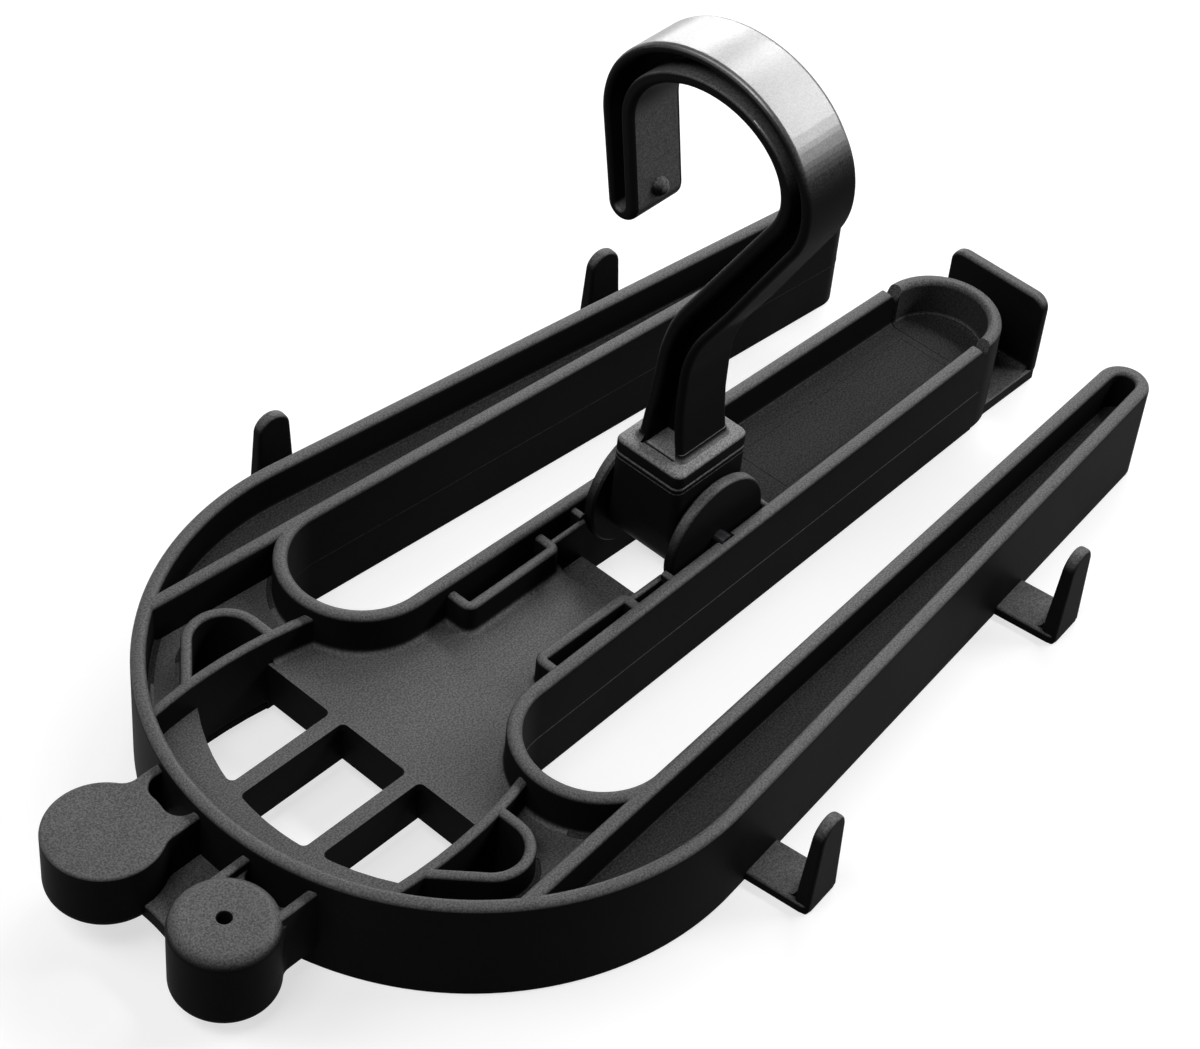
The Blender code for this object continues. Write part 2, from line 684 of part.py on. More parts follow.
def make_tip_hook(material):
    """Rounded cap of the centre arm with its floor, foot plate and upright plate."""
    start_x = CENTRE_ARM_END + SEAT_GAP
    radius = TIP_OUTER_RADIUS - WALL / 2
    bend = arc((TIP_CENTRE_X, 0), radius, -math.pi / 2, math.pi / 2)
    path = [Vector((start_x, -radius))] + bend + [Vector((start_x, radius))]
    tip = wall("tip_hook", path, WALL, 0, FRAME_HEIGHT, WALL_EDGE)
    floor = [Vector((start_x, -radius))] + bend + [Vector((start_x, radius))]
    add(tip, prism("floor", floor, WEB_TOP - WEB_THICKNESS, WEB_TOP))
    back = TIP_PLATE_X + TIP_PLATE_THICKNESS
    foot_top = TIP_FOOT_BOTTOM + TIP_FOOT_THICKNESS
    foot = box(
        "foot",
        (TIP_CENTRE_X, -TIP_PLATE_HALF_WIDTH, TIP_FOOT_BOTTOM),
        (back - OVERRUN, TIP_PLATE_HALF_WIDTH, foot_top),
    )
    add(tip, foot)
    half = TIP_PLATE_HALF_WIDTH
    corner = TIP_PLATE_CORNER
    outline = rounded_rectangle(
        (0, (TIP_FOOT_BOTTOM + TIP_PLATE_TOP) / 2), 2 * half,
        TIP_PLATE_TOP - TIP_FOOT_BOTTOM, corner,
    )
    add(tip, side_prism("plate", outline, TIP_PLATE_X, back, "YZ"))
    cut(tip, tip_notch())
    return finish(tip, material)


def make_peg(name, x, side, material):
    """Foot plate square to the outer arm with an upright, tapered post at its end."""
    lean = OUTER_ARM_TAPER
    along = Vector((math.cos(lean), -math.sin(lean)))
    outward = Vector((math.sin(lean), math.cos(lean)))
    root = Vector((x, outer_arm_y(x))) + outward * (WALL / 2 + SEAT_GAP)

    def place(distance_along, distance_out):
        return root + along * distance_along + outward * distance_out

    half = PEG_WIDTH / 2
    corner = PEG_POST_THICKNESS / 2
    foot = [place(-half, 0), place(half, 0), place(half, PEG_REACH - corner)]
    foot += [place(half - corner, PEG_REACH), place(corner - half, PEG_REACH)]
    foot += [place(-half, PEG_REACH - corner)]
    peg = prism(name, side_path(foot, side), 0, PEG_FOOT_THICKNESS)
    low = PEG_POST_FOOT_WIDTH / 2
    high = PEG_POST_TOP_WIDTH / 2
    crown_z = PEG_POST_TOP - high
    crown = arc((0, crown_z), high, 0, math.pi, math.radians(18))
    face = [Vector((-low, 0)), Vector((low, 0))] + crown
    post = prism("post", face, PEG_REACH - PEG_POST_THICKNESS, PEG_REACH)
    slimming = (PEG_POST_THICKNESS - PEG_POST_TOP_THICKNESS) / PEG_POST_TOP
    for corner_point in post.data.vertices:
        if corner_point.co.z < PEG_REACH - PEG_POST_THICKNESS / 2:
            corner_point.co.z += slimming * corner_point.co.y
    matrix = Matrix((
        (along.x, 0, outward.x, root.x),
        (along.y, 0, outward.y, root.y),
        (0, 1, 0, 0),
        (0, 0, 0, 1),
    ))
    post.data.transform(matrix)
    if side < 0:
        post.data.transform(Matrix.Scale(-1, 4, (0, 1, 0)))
    if (matrix.determinant() < 0) != (side < 0):
        post.data.flip_normals()
    add(peg, post)
    return finish(peg, material)


def add_ears(knob, feet_y, centre, bottom, growth=0.0):
    """Ribs that run straight back from the knob to the nose rim."""
    for foot_y in feet_y:
        foot = Vector((-math.sqrt(NOSE_RADIUS ** 2 - foot_y ** 2), foot_y))
        path = [foot, Vector((centre[0], foot_y))]
        add(knob, wall("ear", path, EAR_WIDTH + 2 * growth, bottom, EAR_TOP))
    return knob


def knob_underside(radius, bottom):
    """Profile points of a knob's rounded lower edge."""
    middle = (radius - KNOB_BOTTOM_ROUND, bottom + KNOB_BOTTOM_ROUND)
    edge = arc(middle, KNOB_BOTTOM_ROUND, -math.pi / 2, 0, math.radians(30))
    return [(p.x, p.y) for p in edge]


def make_left_knob(material):
    """Flat knob with its ears and the plate that bridges the space between the knobs."""
    profile = knob_underside(LEFT_KNOB_RADIUS, LEFT_KNOB_BOTTOM)
    profile += [(LEFT_KNOB_RADIUS, KNOB_TOP - LEFT_KNOB_EDGE)]
    profile += [(LEFT_KNOB_RADIUS - LEFT_KNOB_EDGE, KNOB_TOP)]
    knob = turned("left_knob", profile, (*LEFT_KNOB_CENTRE, 0))
    ear_bottom = LEFT_KNOB_BOTTOM + KNOB_BOTTOM_ROUND
    add_ears(knob, LEFT_EARS_Y, LEFT_KNOB_CENTRE, ear_bottom)
    bridge_bottom = BRIDGE_TOP - BRIDGE_THICKNESS
    low = (BRIDGE_FRONT_X, RIGHT_EARS_Y[0], bridge_bottom)
    high = (-NOSE_RADIUS, LEFT_EARS_Y[0], BRIDGE_TOP)
    bridge = box("bridge", low, high)
    neighbour = rod("neighbour", RIGHT_KNOB_RADIUS + SEAT_GAP, 0, FRAME_HEIGHT,
                    (*RIGHT_KNOB_CENTRE, 0))
    add_ears(neighbour, RIGHT_EARS_Y[:1], RIGHT_KNOB_CENTRE, OVERRUN, SEAT_GAP)
    cut(bridge, neighbour)
    add(knob, bridge)
    cut(knob, rim_clearance())
    return finish(knob, material)


def rim_clearance():
    """Cutter that keeps the knobs' ears just clear of the nose rim."""
    radius = NOSE_RADIUS + WALL / 2 + SEAT_GAP
    return rod("rim", radius, -OVERRUN, FRAME_HEIGHT, (0, 0, 0), "Z", math.radians(3))


def make_right_knob(material):
    """Knob with a rounded shoulder and a small hole in the middle."""
    shoulder = arc(
        (RIGHT_KNOB_FLAT_RADIUS, KNOB_TOP - RIGHT_KNOB_SHOULDER),
        RIGHT_KNOB_SHOULDER, 0, math.pi / 2, math.radians(18),
    )
    stretch = (RIGHT_KNOB_RADIUS - RIGHT_KNOB_FLAT_RADIUS) / RIGHT_KNOB_SHOULDER
    rounded = [
        (RIGHT_KNOB_FLAT_RADIUS + (p.x - RIGHT_KNOB_FLAT_RADIUS) * stretch, p.y)
        for p in shoulder
    ]
    hole_floor = KNOB_TOP - RIGHT_KNOB_HOLE_DEPTH
    profile = knob_underside(RIGHT_KNOB_RADIUS, RIGHT_KNOB_BOTTOM) + rounded
    profile += [(RIGHT_KNOB_HOLE_RADIUS, KNOB_TOP), (RIGHT_KNOB_HOLE_RADIUS, hole_floor)]
    knob = turned("right_knob", profile, (*RIGHT_KNOB_CENTRE, 0))
    ear_bottom = RIGHT_KNOB_BOTTOM + KNOB_BOTTOM_ROUND
    add_ears(knob, RIGHT_EARS_Y, RIGHT_KNOB_CENTRE, ear_bottom)
    cut(knob, rim_clearance())
    return finish(knob, material)


def make_swivel_block(material):
    """Block with a disc on each side, round underneath, and the spigot's socket."""
    half = BLOCK_LENGTH / 2
    shoulder_z = PIVOT_Z + BLOCK_SHOULDER
    outline = [Vector((PIVOT_X - half, BLOCK_TOP)), Vector((PIVOT_X - half, shoulder_z))]
    outline += arc((PIVOT_X, PIVOT_Z), BLOCK_ROUND, math.radians(190), math.radians(350))
    outline += [Vector((PIVOT_X + half, shoulder_z)), Vector((PIVOT_X + half, BLOCK_TOP))]
    block = side_prism("swivel_block", outline, -BLOCK_WIDTH / 2, BLOCK_WIDTH / 2, "XZ")
    plan = rounded_rectangle((PIVOT_X, 0), BLOCK_LENGTH, BLOCK_WIDTH, BLOCK_CORNER)
    corner_tool = prism("corners", plan, 0, BLOCK_TOP + OVERRUN)
    combine(block, corner_tool, "INTERSECT")
    for side in (1, -1):
        face = disc_face_y()
        back = face - DISC_THICKNESS
        profile = [
            (DISC_NECK_RADIUS, BLOCK_WIDTH / 2 - OVERRUN), (DISC_NECK_RADIUS, back),
            (DISC_RADIUS, back), (DISC_RADIUS, face - DISC_EDGE), (DISC_RADIUS - DISC_EDGE, face),
        ]
        disc = turned("disc", profile, (0, 0, 0), "Y")
        if side < 0:
            disc.data.transform(Matrix.Rotation(math.pi, 4, "Z"))
        disc.data.transform(Matrix.Translation((PIVOT_X, 0, PIVOT_Z)))
        add(block, disc)
    socket = drill("socket", SPIGOT_RADIUS + RUNNING_GAP, SOCKET_SHELF - OVERRUN,
                   BLOCK_TOP + OVERRUN, (PIVOT_X, 0, 0))
    cut(block, socket)
    well = drill("well", WELL_RADIUS, 0, SOCKET_SHELF, (PIVOT_X, 0, 0))
    cut(block, well)
    bore = drill("bore", PIVOT_PIN_RADIUS + PIN_GAP, -2 * BLOCK_WIDTH, 2 * BLOCK_WIDTH,
                 (PIVOT_X, 0, PIVOT_Z), "Y", math.radians(15))
    cut(block, bore)
    return finish(block, material, (PIVOT_X, 0, PIVOT_Z))


def hook_centre_line():
    """Centre line of the strap in the YZ plane, from its free end to the flange."""
    ring = Vector((HOOK_RING_Y, HOOK_RING_Z))
    wide = HOOK_RING_HALF_WIDTH
    tall = HOOK_RING_HALF_HEIGHT

    def on_ring(angle):
        return ring + Vector((wide * math.cos(angle), tall * math.sin(angle)))

    def heading(angle):
        return Vector((-wide * math.sin(angle), tall * math.cos(angle))).normalized()

    start = -HOOK_FREE_ANGLE
    end = HOOK_NECK_ANGLE
    count = 34
    free = on_ring(start) - heading(start) * HOOK_FREE_LENGTH
    line = [free, on_ring(start) - heading(start) * (HOOK_FREE_LENGTH / 2)]
    line += [on_ring(start + (end - start) * i / count) for i in range(count + 1)]
    down = heading(end)
    neck = line[-1] + down * HOOK_NECK_LENGTH
    line.append(line[-1] + down * (HOOK_NECK_LENGTH / 2))
    lean = math.atan2(down.x, -down.y)
    centre = neck - HOOK_BEND_RADIUS * Vector((math.cos(lean), math.sin(lean)))
    line += arc(centre, HOOK_BEND_RADIUS, lean, 0, math.radians(5))
    line.append(Vector((line[-1].x, flange_top() - FLANGE_HEIGHT / 2)))
    return line


def flange_bottom():
    return BLOCK_TOP + RUNNING_GAP


def flange_top():
    return flange_bottom() + FLANGE_HEIGHT


def hook_depths(line):
    """Depth of the strap at each point of its centre line."""
    lengths = [0.0]
    for first, second in zip(line, line[1:]):
        lengths.append(lengths[-1] + (second - first).length)
    crown_at = HOOK_FREE_LENGTH + HOOK_RING_HALF_WIDTH
    neck_at = crown_at + 2 * HOOK_RING_HALF_WIDTH
    depths = []
    for length in lengths:
        if length < crown_at:
            share = length / crown_at
            depths.append(HOOK_DEPTH_TIP + (HOOK_DEPTH_CROWN - HOOK_DEPTH_TIP) * share)
        else:
            share = min(1.0, (length - crown_at) / (neck_at - crown_at))
            depths.append(HOOK_DEPTH_CROWN + (HOOK_DEPTH_NECK - HOOK_DEPTH_CROWN) * share)
    return depths


def strap_outline(line, depths, outer_inset, inner_inset):
    """Outline of the strap in the YZ plane with a round free end."""
    normals = miter_normals(line)
    outer = []
    inner = []
    for point, normal, depth in zip(line, normals, depths):
        outer.append(point - normal * (depth / 2 - outer_inset))
        inner.append(point + normal * (depth / 2 - inner_inset))
    middle = (outer[0] + inner[0]) / 2
    radius = (outer[0] - inner[0]).length / 2
    begin = math.atan2(inner[0].y - middle.y, inner[0].x - middle.x)
    round_end = arc(middle, radius, begin, begin + math.pi, math.radians(20))
    ahead = (line[0] - line[1]).normalized()
    if (round_end[len(round_end) // 2] - middle).dot(ahead) < 0:
        round_end = arc(middle, radius, begin, begin - math.pi, math.radians(20))
    return list(reversed(inner)) + round_end[1:-1] + outer


def make_hook(material):
    """I-section strap hook with its flange and swivel spigot."""
    line = hook_centre_line()
    depths = hook_depths(line)
    half = HOOK_WIDTH / 2
    left = PIVOT_X - half
    right = PIVOT_X + half
    hook = side_prism("hook", strap_outline(line, depths, 0, 0), left, right, "YZ")
    short = line[:-1] + [Vector((line[-1].x, flange_top() + SEAT_GAP))]
    groove = strap_outline(short, depths, HOOK_OUTER_FLANGE, HOOK_INNER_FLANGE)
    for low, high in ((left - OVERRUN, PIVOT_X - HOOK_WEB / 2), (PIVOT_X + HOOK_WEB / 2, right + OVERRUN)):
        cut(hook, side_prism("groove", groove, low, high, "YZ"))
    plan = rounded_rectangle((PIVOT_X, 0), BLOCK_LENGTH, BLOCK_WIDTH, BLOCK_CORNER)
    add(hook, prism("flange", plan, flange_bottom(), flange_top()))
    spigot_end = SOCKET_SHELF
    add(hook, rod("spigot", SPIGOT_RADIUS, spigot_end, flange_bottom() + OVERRUN, (PIVOT_X, 0, 0)))
    pilot = drill("pilot", SCREW_SHANK_RADIUS + PIN_GAP, spigot_end - OVERRUN,
                  spigot_end + SCREW_SHANK_LENGTH, (PIVOT_X, 0, 0), "Z", math.radians(30))
    cut(hook, pilot)
    ahead = (line[1] - line[0]).normalized()
    seat = line[0] + ahead * BALL_FROM_TIP
    inward = Vector((-ahead.y, ahead.x)) * (HOOK_DEPTH_TIP / 2)
    spot = seat + inward
    ball_angles = [math.pi * i / 9 for i in range(1, 9)]
    ball_profile = [(BALL_RADIUS * math.sin(a), -BALL_RADIUS * math.cos(a)) for a in ball_angles]
    ball = turned("ball", ball_profile, (PIVOT_X, spot.x, spot.y), "Z", math.radians(30))
    add(hook, ball)
    return finish(hook, material, (PIVOT_X, 0, flange_bottom()))


def make_pivot_pin(material):
    end = pivot_pin_end()
    pin = rod("pivot_pin", PIVOT_PIN_RADIUS, -end, end,
              (PIVOT_X, 0, PIVOT_Z), "Y", math.radians(15))
    return finish(pin, material, (PIVOT_X, 0, PIVOT_Z))


def make_swivel_retainer(washer_material, screw_material):
    """Washer and screw that hold the hook's spigot in the block from below."""
    top = SOCKET_SHELF - SEAT_GAP
    bottom = top - WASHER_THICKNESS
    bore = SCREW_SHANK_RADIUS + PIN_GAP
    washer = rod("swivel_washer", WASHER_RADIUS, bottom, top, (PIVOT_X, 0, 0), "Z", math.radians(12))
    cut(washer, drill("bore", bore, bottom - OVERRUN, top + OVERRUN, (PIVOT_X, 0, 0), "Z",
                      math.radians(30)))
    head_top = bottom - SEAT_GAP
    head_bottom = head_top - SCREW_HEAD_HEIGHT
    tip = SOCKET_SHELF + SCREW_SHANK_LENGTH - OVERRUN
    profile = [
        (SCREW_HEAD_RADIUS * 0.8, head_bottom),
        (SCREW_HEAD_RADIUS, head_bottom + SCREW_HEAD_HEIGHT / 2), (SCREW_HEAD_RADIUS, head_top),
        (SCREW_SHANK_RADIUS, head_top), (SCREW_SHANK_RADIUS, tip),
    ]
    screw = turned("swivel_screw", profile, (PIVOT_X, 0, 0), "Z", math.radians(20))
    return finish(washer, washer_material), finish(screw, screw_material)


def centre_on_footprint(pieces):
    """Move everything so that the origin is under the middle of the whole length."""
    front = LEFT_KNOB_CENTRE[0] - LEFT_KNOB_RADIUS
    back = TIP_PLATE_X + TIP_PLATE_THICKNESS
    for piece in pieces:
        piece.location.x -= (front + back) / 2


def main():
    clear_scene()
    black = (0.028, 0.028, 0.029)
    make_frame(plastic("frame_plastic", black, 0.55))
    make_tip_hook(plastic("tip_plastic", black, 0.55))
    pegs = (
        ("peg_left_front", FRONT_PEGS_X, 1), ("peg_left_rear", LEFT_REAR_PEG_X, 1),
        ("peg_right_front", FRONT_PEGS_X, -1), ("peg_right_rear", RIGHT_REAR_PEG_X, -1),
    )
    for name, x, side in pegs:
        make_peg(name, x, side, plastic(name + "_plastic", black, 0.55))
    make_left_knob(plastic("left_knob_plastic", black, 0.55))
    make_right_knob(plastic("right_knob_plastic", black, 0.55))
    make_swivel_block(plastic("block_plastic", black, 0.5))
    make_hook(plastic("hook_plastic", black, 0.5))
    make_pivot_pin(plastic("pin_steel", (0.10, 0.10, 0.11), 0.35, 1.0))
    make_swivel_retainer(
        plastic("washer_steel", (0.45, 0.45, 0.46), 0.35, 1.0),
        plastic("screw_steel", (0.45, 0.45, 0.46), 0.35, 1.0),
    )
    centre_on_footprint(bpy.data.objects)


main()
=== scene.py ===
"""Looks of the folding wetsuit hanger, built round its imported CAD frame.

All lengths are metres. The pieces are drawn with the nose circle's centre at X = 0 and
then moved to the shared frame, where that centre lies at NOSE_X.
"""
from math import acos, asin, atan, atan2, ceil, cos, pi, radians, sin, sqrt, tan

import bmesh
import bpy
from mathutils import Matrix, Vector


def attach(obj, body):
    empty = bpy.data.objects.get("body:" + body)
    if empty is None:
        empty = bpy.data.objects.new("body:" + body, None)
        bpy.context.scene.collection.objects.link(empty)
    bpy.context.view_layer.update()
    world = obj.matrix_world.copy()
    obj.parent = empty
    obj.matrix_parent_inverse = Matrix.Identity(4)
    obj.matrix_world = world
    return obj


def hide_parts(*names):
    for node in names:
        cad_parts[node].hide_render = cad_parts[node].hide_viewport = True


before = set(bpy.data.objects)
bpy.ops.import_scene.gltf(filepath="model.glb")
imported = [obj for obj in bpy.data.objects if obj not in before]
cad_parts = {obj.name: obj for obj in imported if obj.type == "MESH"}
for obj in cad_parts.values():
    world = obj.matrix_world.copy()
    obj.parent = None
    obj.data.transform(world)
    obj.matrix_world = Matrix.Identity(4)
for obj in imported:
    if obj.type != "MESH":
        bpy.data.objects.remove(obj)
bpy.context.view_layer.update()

NOSE_X = -0.0704

# Camera
CAMERA_PLACE = (-0.537417, -0.479260, 0.795675)
CAMERA_RIGHT = (0.676414, -0.732734, 0.074607)
CAMERA_UP = (0.474048, 0.510649, 0.717293)
CAMERA_BACK = (-0.563685, -0.449821, 0.692763)
CAMERA_LENS = 93.67
CAMERA_SENSOR = 36.0

# Frame moulding
FRAME_HEIGHT = 0.0420
WALL = 0.0054
WALL_ROUND = 0.0020
WALL_FOOT_ROUND = 0.0006
NOSE_RADIUS = 0.1090
OUTER_ARM_TAPER = radians(6.4)
RAIL_AT_ORIGIN = 0.0833
RAIL_TAPER = atan(0.070)
LEFT_ARM_TIP_X = 0.2690
RIGHT_ARM_TIP_X = 0.2760
WEB_TOP = 0.0254
WEB_THICKNESS = 0.0032
WEB_BOTTOM = WEB_TOP - WEB_THICKNESS
WEB_FILLET = 0.0022
PARTING_Z = 0.0195
BEAD_HEIGHT = 0.00035
BEAD_OUT = 0.00014
WITNESS_FROM_X, WITNESS_TO_X, WITNESS_Y = 0.1540, 0.2500, 0.0115  # outline of an insert in the tray
WITNESS_LINE = 0.00012
RAIL_SEAM_START = 0.012  # from the rim, where the rail's parting line starts
BEAD_SINK = 0.00002
SLOT_END_X = 0.0040
CENTRE_WALL_AT_ORIGIN = 0.02826
CENTRE_WALL_TAPER = atan(0.0253)
CENTRE_ARM_END = 0.2532
TIP_NOTCH_WIDTH = 0.0064
TIP_NOTCH_DEPTH = 0.0052

# Nose ribs and windows
RIB_TOP = 0.0374
RIB = 0.0040
RIB_ROUND = 0.0015
SKIRT_BOTTOM = 0.0070
SKIRT = 0.0030
BASE_RIB_RIM_ANGLE = radians(150.9)
BASE_RIB_MID = (-0.0570, 0.0547)
BASE_RIB_SLOT_ANGLE = radians(193.0)
D_LOOP_CENTRE = (-0.0527, 0.0618)
D_LOOP_RADIUS = 0.0128
D_LOOP_FOOT_X = -0.0762
D_CUP_FLOOR = 0.0040
WINDOW_EDGE_X = -0.0428
WINDOW_NOSE_RADIUS = 0.0903
WINDOW_BAR_Y = 0.0180
WINDOW_BAR = 0.0059
WINDOW_CORNER = 0.0022

# Pockets and hinge bay
POCKET_START_X = 0.0177
POCKET_END_X = 0.0599
POCKET_WALL_Y = 0.0164
POCKET_CORNER = 0.0022
RIDGE_Y = 0.0187
RIDGE = 0.0025
PIVOT_X = 0.1031
PIVOT_Z = 0.0401
PIVOT_PIN_RADIUS = 0.0032
PIVOT_PIN_DEPTH = 0.0024
DISC_RADIUS = 0.0241
DISC_WALL_GAP = 0.0014
DISC_THICKNESS = 0.0044
DISC_EDGE = 0.0015
DISC_NECK_RADIUS = 0.0150
HUB_WELL_START_X = 0.0765
HUB_WELL_END_X = 0.1335
STEP_X = 0.0622
STEP_SLOPE = 0.0034
STEP_DROP = 0.0046
GUIDE_RIB = 0.0030
GUIDE_RIB_REACH = 0.0045
GUIDE_RIB_TOP = 0.0395

# Swivel block
BLOCK_LENGTH = 0.0370
BLOCK_WIDTH = 0.0304
BLOCK_TOP = 0.0690
BLOCK_ROUND = 0.0170
BLOCK_SHOULDER = 0.0060
BLOCK_CORNER = 0.0034
BLOCK_EDGE = 0.0008  # also the rounding of other small edges
BLOCK_SEAM_DROP = 0.0018
BLOCK_SEAM = 0.0005
SPIGOT_RADIUS = 0.0070
SOCKET_SHELF = 0.0540
WELL_RADIUS = 0.0092

# Hook
FLANGE_HEIGHT = 0.0058
FLANGE_ROUND = 0.0019
HOOK_WIDTH = 0.0245
HOOK_EDGE = 0.0021
HOOK_RING_Y = -0.0034
HOOK_RING_Z = 0.2018
HOOK_RING_HALF_WIDTH = 0.0368
HOOK_RING_HALF_HEIGHT = 0.0301
HOOK_FREE_ANGLE = radians(8.0)
HOOK_FREE_LENGTH = 0.0330
HOOK_NECK_ANGLE = radians(205.2)
HOOK_NECK_LENGTH = 0.0587
HOOK_BEND_RADIUS = 0.0540
HOOK_DEPTH_TIP = 0.0124
HOOK_DEPTH_CROWN = 0.0140
HOOK_DEPTH_NECK = 0.0110
# height, and how far the stem's outer and inner edges stand out there
STEM_GROWTH = ((0.2175, 0.0, 0.0), (0.2054, 0.0009, 0.0), (0.1970, 0.0018, 0.0), (0.1890, 0.0026, 0.0),
               (0.1700, 0.0031, 0.0), (0.1508, 0.0038, 0.0), (0.1360, 0.0036, 0.0), (0.1228, 0.0029, 0.0002),
               (0.1100, 0.0021, 0.0009), (0.0950, 0.0021, 0.0024), (0.0850, 0.0030, 0.0038),
               (0.0760, 0.0045, 0.0048))
HOOK_OUTER_FLANGE = 0.0034
HOOK_INNER_FLANGE = 0.0046
HOOK_WEB = 0.0034
GROOVE_FILLET = 0.0010
GROOVE_MOUTH = 0.0013
NECK_FILLET = 0.0030
BALL_RADIUS = 0.0035
BALL_FROM_TIP = 0.0037
FREE_STEPS, RING_STEPS, NECK_STEPS, STEM_STEPS = 6, 80, 8, 14

# Tip hook
TIP_CENTRE_X = 0.2551
TIP_OUTER_RADIUS = 0.0242
TIP_FOOT_THICKNESS = 0.0056
TIP_PLATE_X = 0.2923
TIP_PLATE_THICKNESS = 0.0052
TIP_PLATE_HALF_WIDTH = 0.0226
TIP_PLATE_TOP = 0.0407
TIP_PLATE_CORNER = 0.0060
TIP_PLATE_EDGE = 0.0018

# Pegs
PEGS = (
    ("peg_left_front", 0.0301, 1), ("peg_left_rear", 0.1873, 1),
    ("peg_right_front", 0.0301, -1), ("peg_right_rear", 0.1898, -1),
)
PEG_WIDTH = 0.0190
PEG_REACH = 0.0245
PEG_FOOT_THICKNESS = 0.0038
PEG_POST_THICKNESS = 0.0062
PEG_POST_TOP_THICKNESS = 0.0044
PEG_POST_FOOT_WIDTH = 0.0180
PEG_POST_TOP_WIDTH = 0.0140
PEG_POST_TOP = 0.0396
PEG_EDGE = 0.0014
LOW_EDGE, FOOT_EDGE = 0.0005, 0.0010
PEG_FILLET = 0.0030

# Knobs
KNOB_TOP = 0.0375
KNOB_BOTTOM_ROUND = 0.0040
EAR_WIDTH = 0.0036
RIGHT_EAR_TOP, EAR_ROUND = 0.0361, 0.0012
LEFT_EAR_BLEND, RIGHT_EAR_BLEND = 0.0060, 0.0050
LEFT_EARS_Y = (0.0110, 0.0338)
RIGHT_EARS_Y = (-0.0118, -0.0362)
LEFT_KNOB_CENTRE = (-0.1363, 0.0260)
LEFT_KNOB_RADIUS = 0.0204
LEFT_KNOB_EDGE = 0.0012
LEFT_KNOB_BOTTOM = 0.0130
RIGHT_KNOB_CENTRE = (-0.1328, -0.0257)
RIGHT_KNOB_RADIUS = 0.0182
RIGHT_KNOB_FLAT_RADIUS = 0.0137
RIGHT_KNOB_SHOULDER = 0.0050
RIGHT_KNOB_BOTTOM = 0.0055
RIGHT_KNOB_HOLE_RADIUS = 0.0025
RIGHT_KNOB_HOLE_DEPTH = 0.0150
HOLE_RIM = ((0.0006, 0.0), (0.0002, 0.0002), (0.0, 0.0007))  # how far out of the hole, and below the top
BRIDGE_LOW_X, BRIDGE_HIGH_X, BRIDGE_MID_Y = -0.1405, -0.1383, 0.0014
BRIDGE_TOP = 0.0195
BRIDGE_THICKNESS = 0.0062

# Clearances, overlaps and facets
SEAT_GAP = 0.0003
RUNNING_GAP = 0.0004
PIN_GAP = 0.0003
SINK = 0.0004  # fractions of it keep faces of joined bodies out of one plane
OVERRUN = 0.0020
FLANGE_BOTTOM = BLOCK_TOP + RUNNING_GAP
FLANGE_TOP = FLANGE_BOTTOM + FLANGE_HEIGHT
RIM_STEP, FINE_STEP, SLOT_STEP, LOOP_STEP = radians(2), radians(3), radians(4), radians(6)
POST_STEP, ROUND_STEP, EAR_STEP = radians(9), radians(10), radians(12)
COARSE_STEP, FILLET_STEP = radians(15), radians(18)
DRILL_TURN = radians(0.9)
EDGE_STEPS, NECK_FILLET_STEPS, WINDOW_STEPS, BALL_STEPS = 4, 6, 6, 18
MITER_LIMIT, INSET_LIMIT = 0.3, 0.4  # keep sharp corners from reaching far out

# Materials: base colours, depth of the moulded grain, roughness and index of refraction
WHITE = (1.0, 1.0, 1.0, 1.0)
BLACK = (0.010, 0.010, 0.0104, 1.0)  # the plastic's own black, left bare on the sides
PAINTED_LIGHT_DIM = (0.080, 0.080, 0.081, 1.0)  # painted light on upper faces, dimmer end of its random tone
PAINTED_LIGHT_BRIGHT = (0.110, 0.110, 0.111, 1.0)
PAINTED_LIGHT_FROM, PAINTED_LIGHT_FADE = 0.15, 0.65  # how far a surface looks up where the painted light begins, and until it is full
GRAIN_SCALE, CLOUD_SCALE = 1500.0, 28.0
PALE_SPECK = (0.55, 1.45)
GLOSS_SPREAD = 0.02
GRAIN, FINE_GRAIN = 0.00012, 0.00004
MATT, SATIN = 0.50, 0.42
# the sides' low index of refraction takes most of their reflection away: painted shade on sides and
# undersides
UPPER_IOR, SHADED_SIDE_IOR = 1.30, 1.05
SIDE_NORMAL = 0.50  # faces that look up less than this count as sides
SHEEN_BANDS = 8  # steps of painted sheen on the crest, between faces that look up as much as the next line says
SHINY_NORMAL, DULL_NORMAL = 0.76, 0.40
RING_NORMAL, STEM_NORMAL = 0.5, 0.7  # how squarely a face must look out of the ring or off the stem
SHARP_EDGE = radians(34)
CHANNEL_TOP, CHANNEL_REACH = 0.030, 0.070  # where the outer arms' channel floors lie

# Stage
FLOOR_LEVEL = -0.0002
FLOOR_HALF, SWEEP_HALF, SWEEP_TOP = 6.0, 11.0, 2.0
FLOOR_GLOW = 0.66
FLOOR_SEEN, FLOOR_BOUNCE = (0.45, 0.45, 0.45, 1.0), (0.125, 0.125, 0.125, 1.0)
CREST_LAMP_DISTANCE, CREST_LAMP_SIZE = 1.6, (0.95, 0.16)
SOFT_LAMP_DISTANCE = 1.8
CREST_LAMPS = (  # name, direction and power; all four shine along the hook's crest
    ("crest_back", (0.656, 0.680, 0.330), 4.8), ("crest_far", (0.656, 0.460, 0.600), 5.6),
    ("crest_top", (0.656, 0.020, 0.755), 9.6), ("crest_near", (0.656, -0.500, 0.560), 10.4),
)
SOFT_LAMPS = (  # name, direction, size and power
    ("left", (-0.50, 0.50, 0.70), (0.8, 0.8), 6.4), ("front", (-0.42, -0.02, 0.85), (0.7, 0.7), 8.8),
)
SKY_GLOW = 0.04


def new_object(name, data):
    obj = bpy.data.objects.new(name, data)
    bpy.context.collection.objects.link(obj)
    return obj


def level_ring(outline, height):
    return [(p[0], p[1], height) for p in outline]


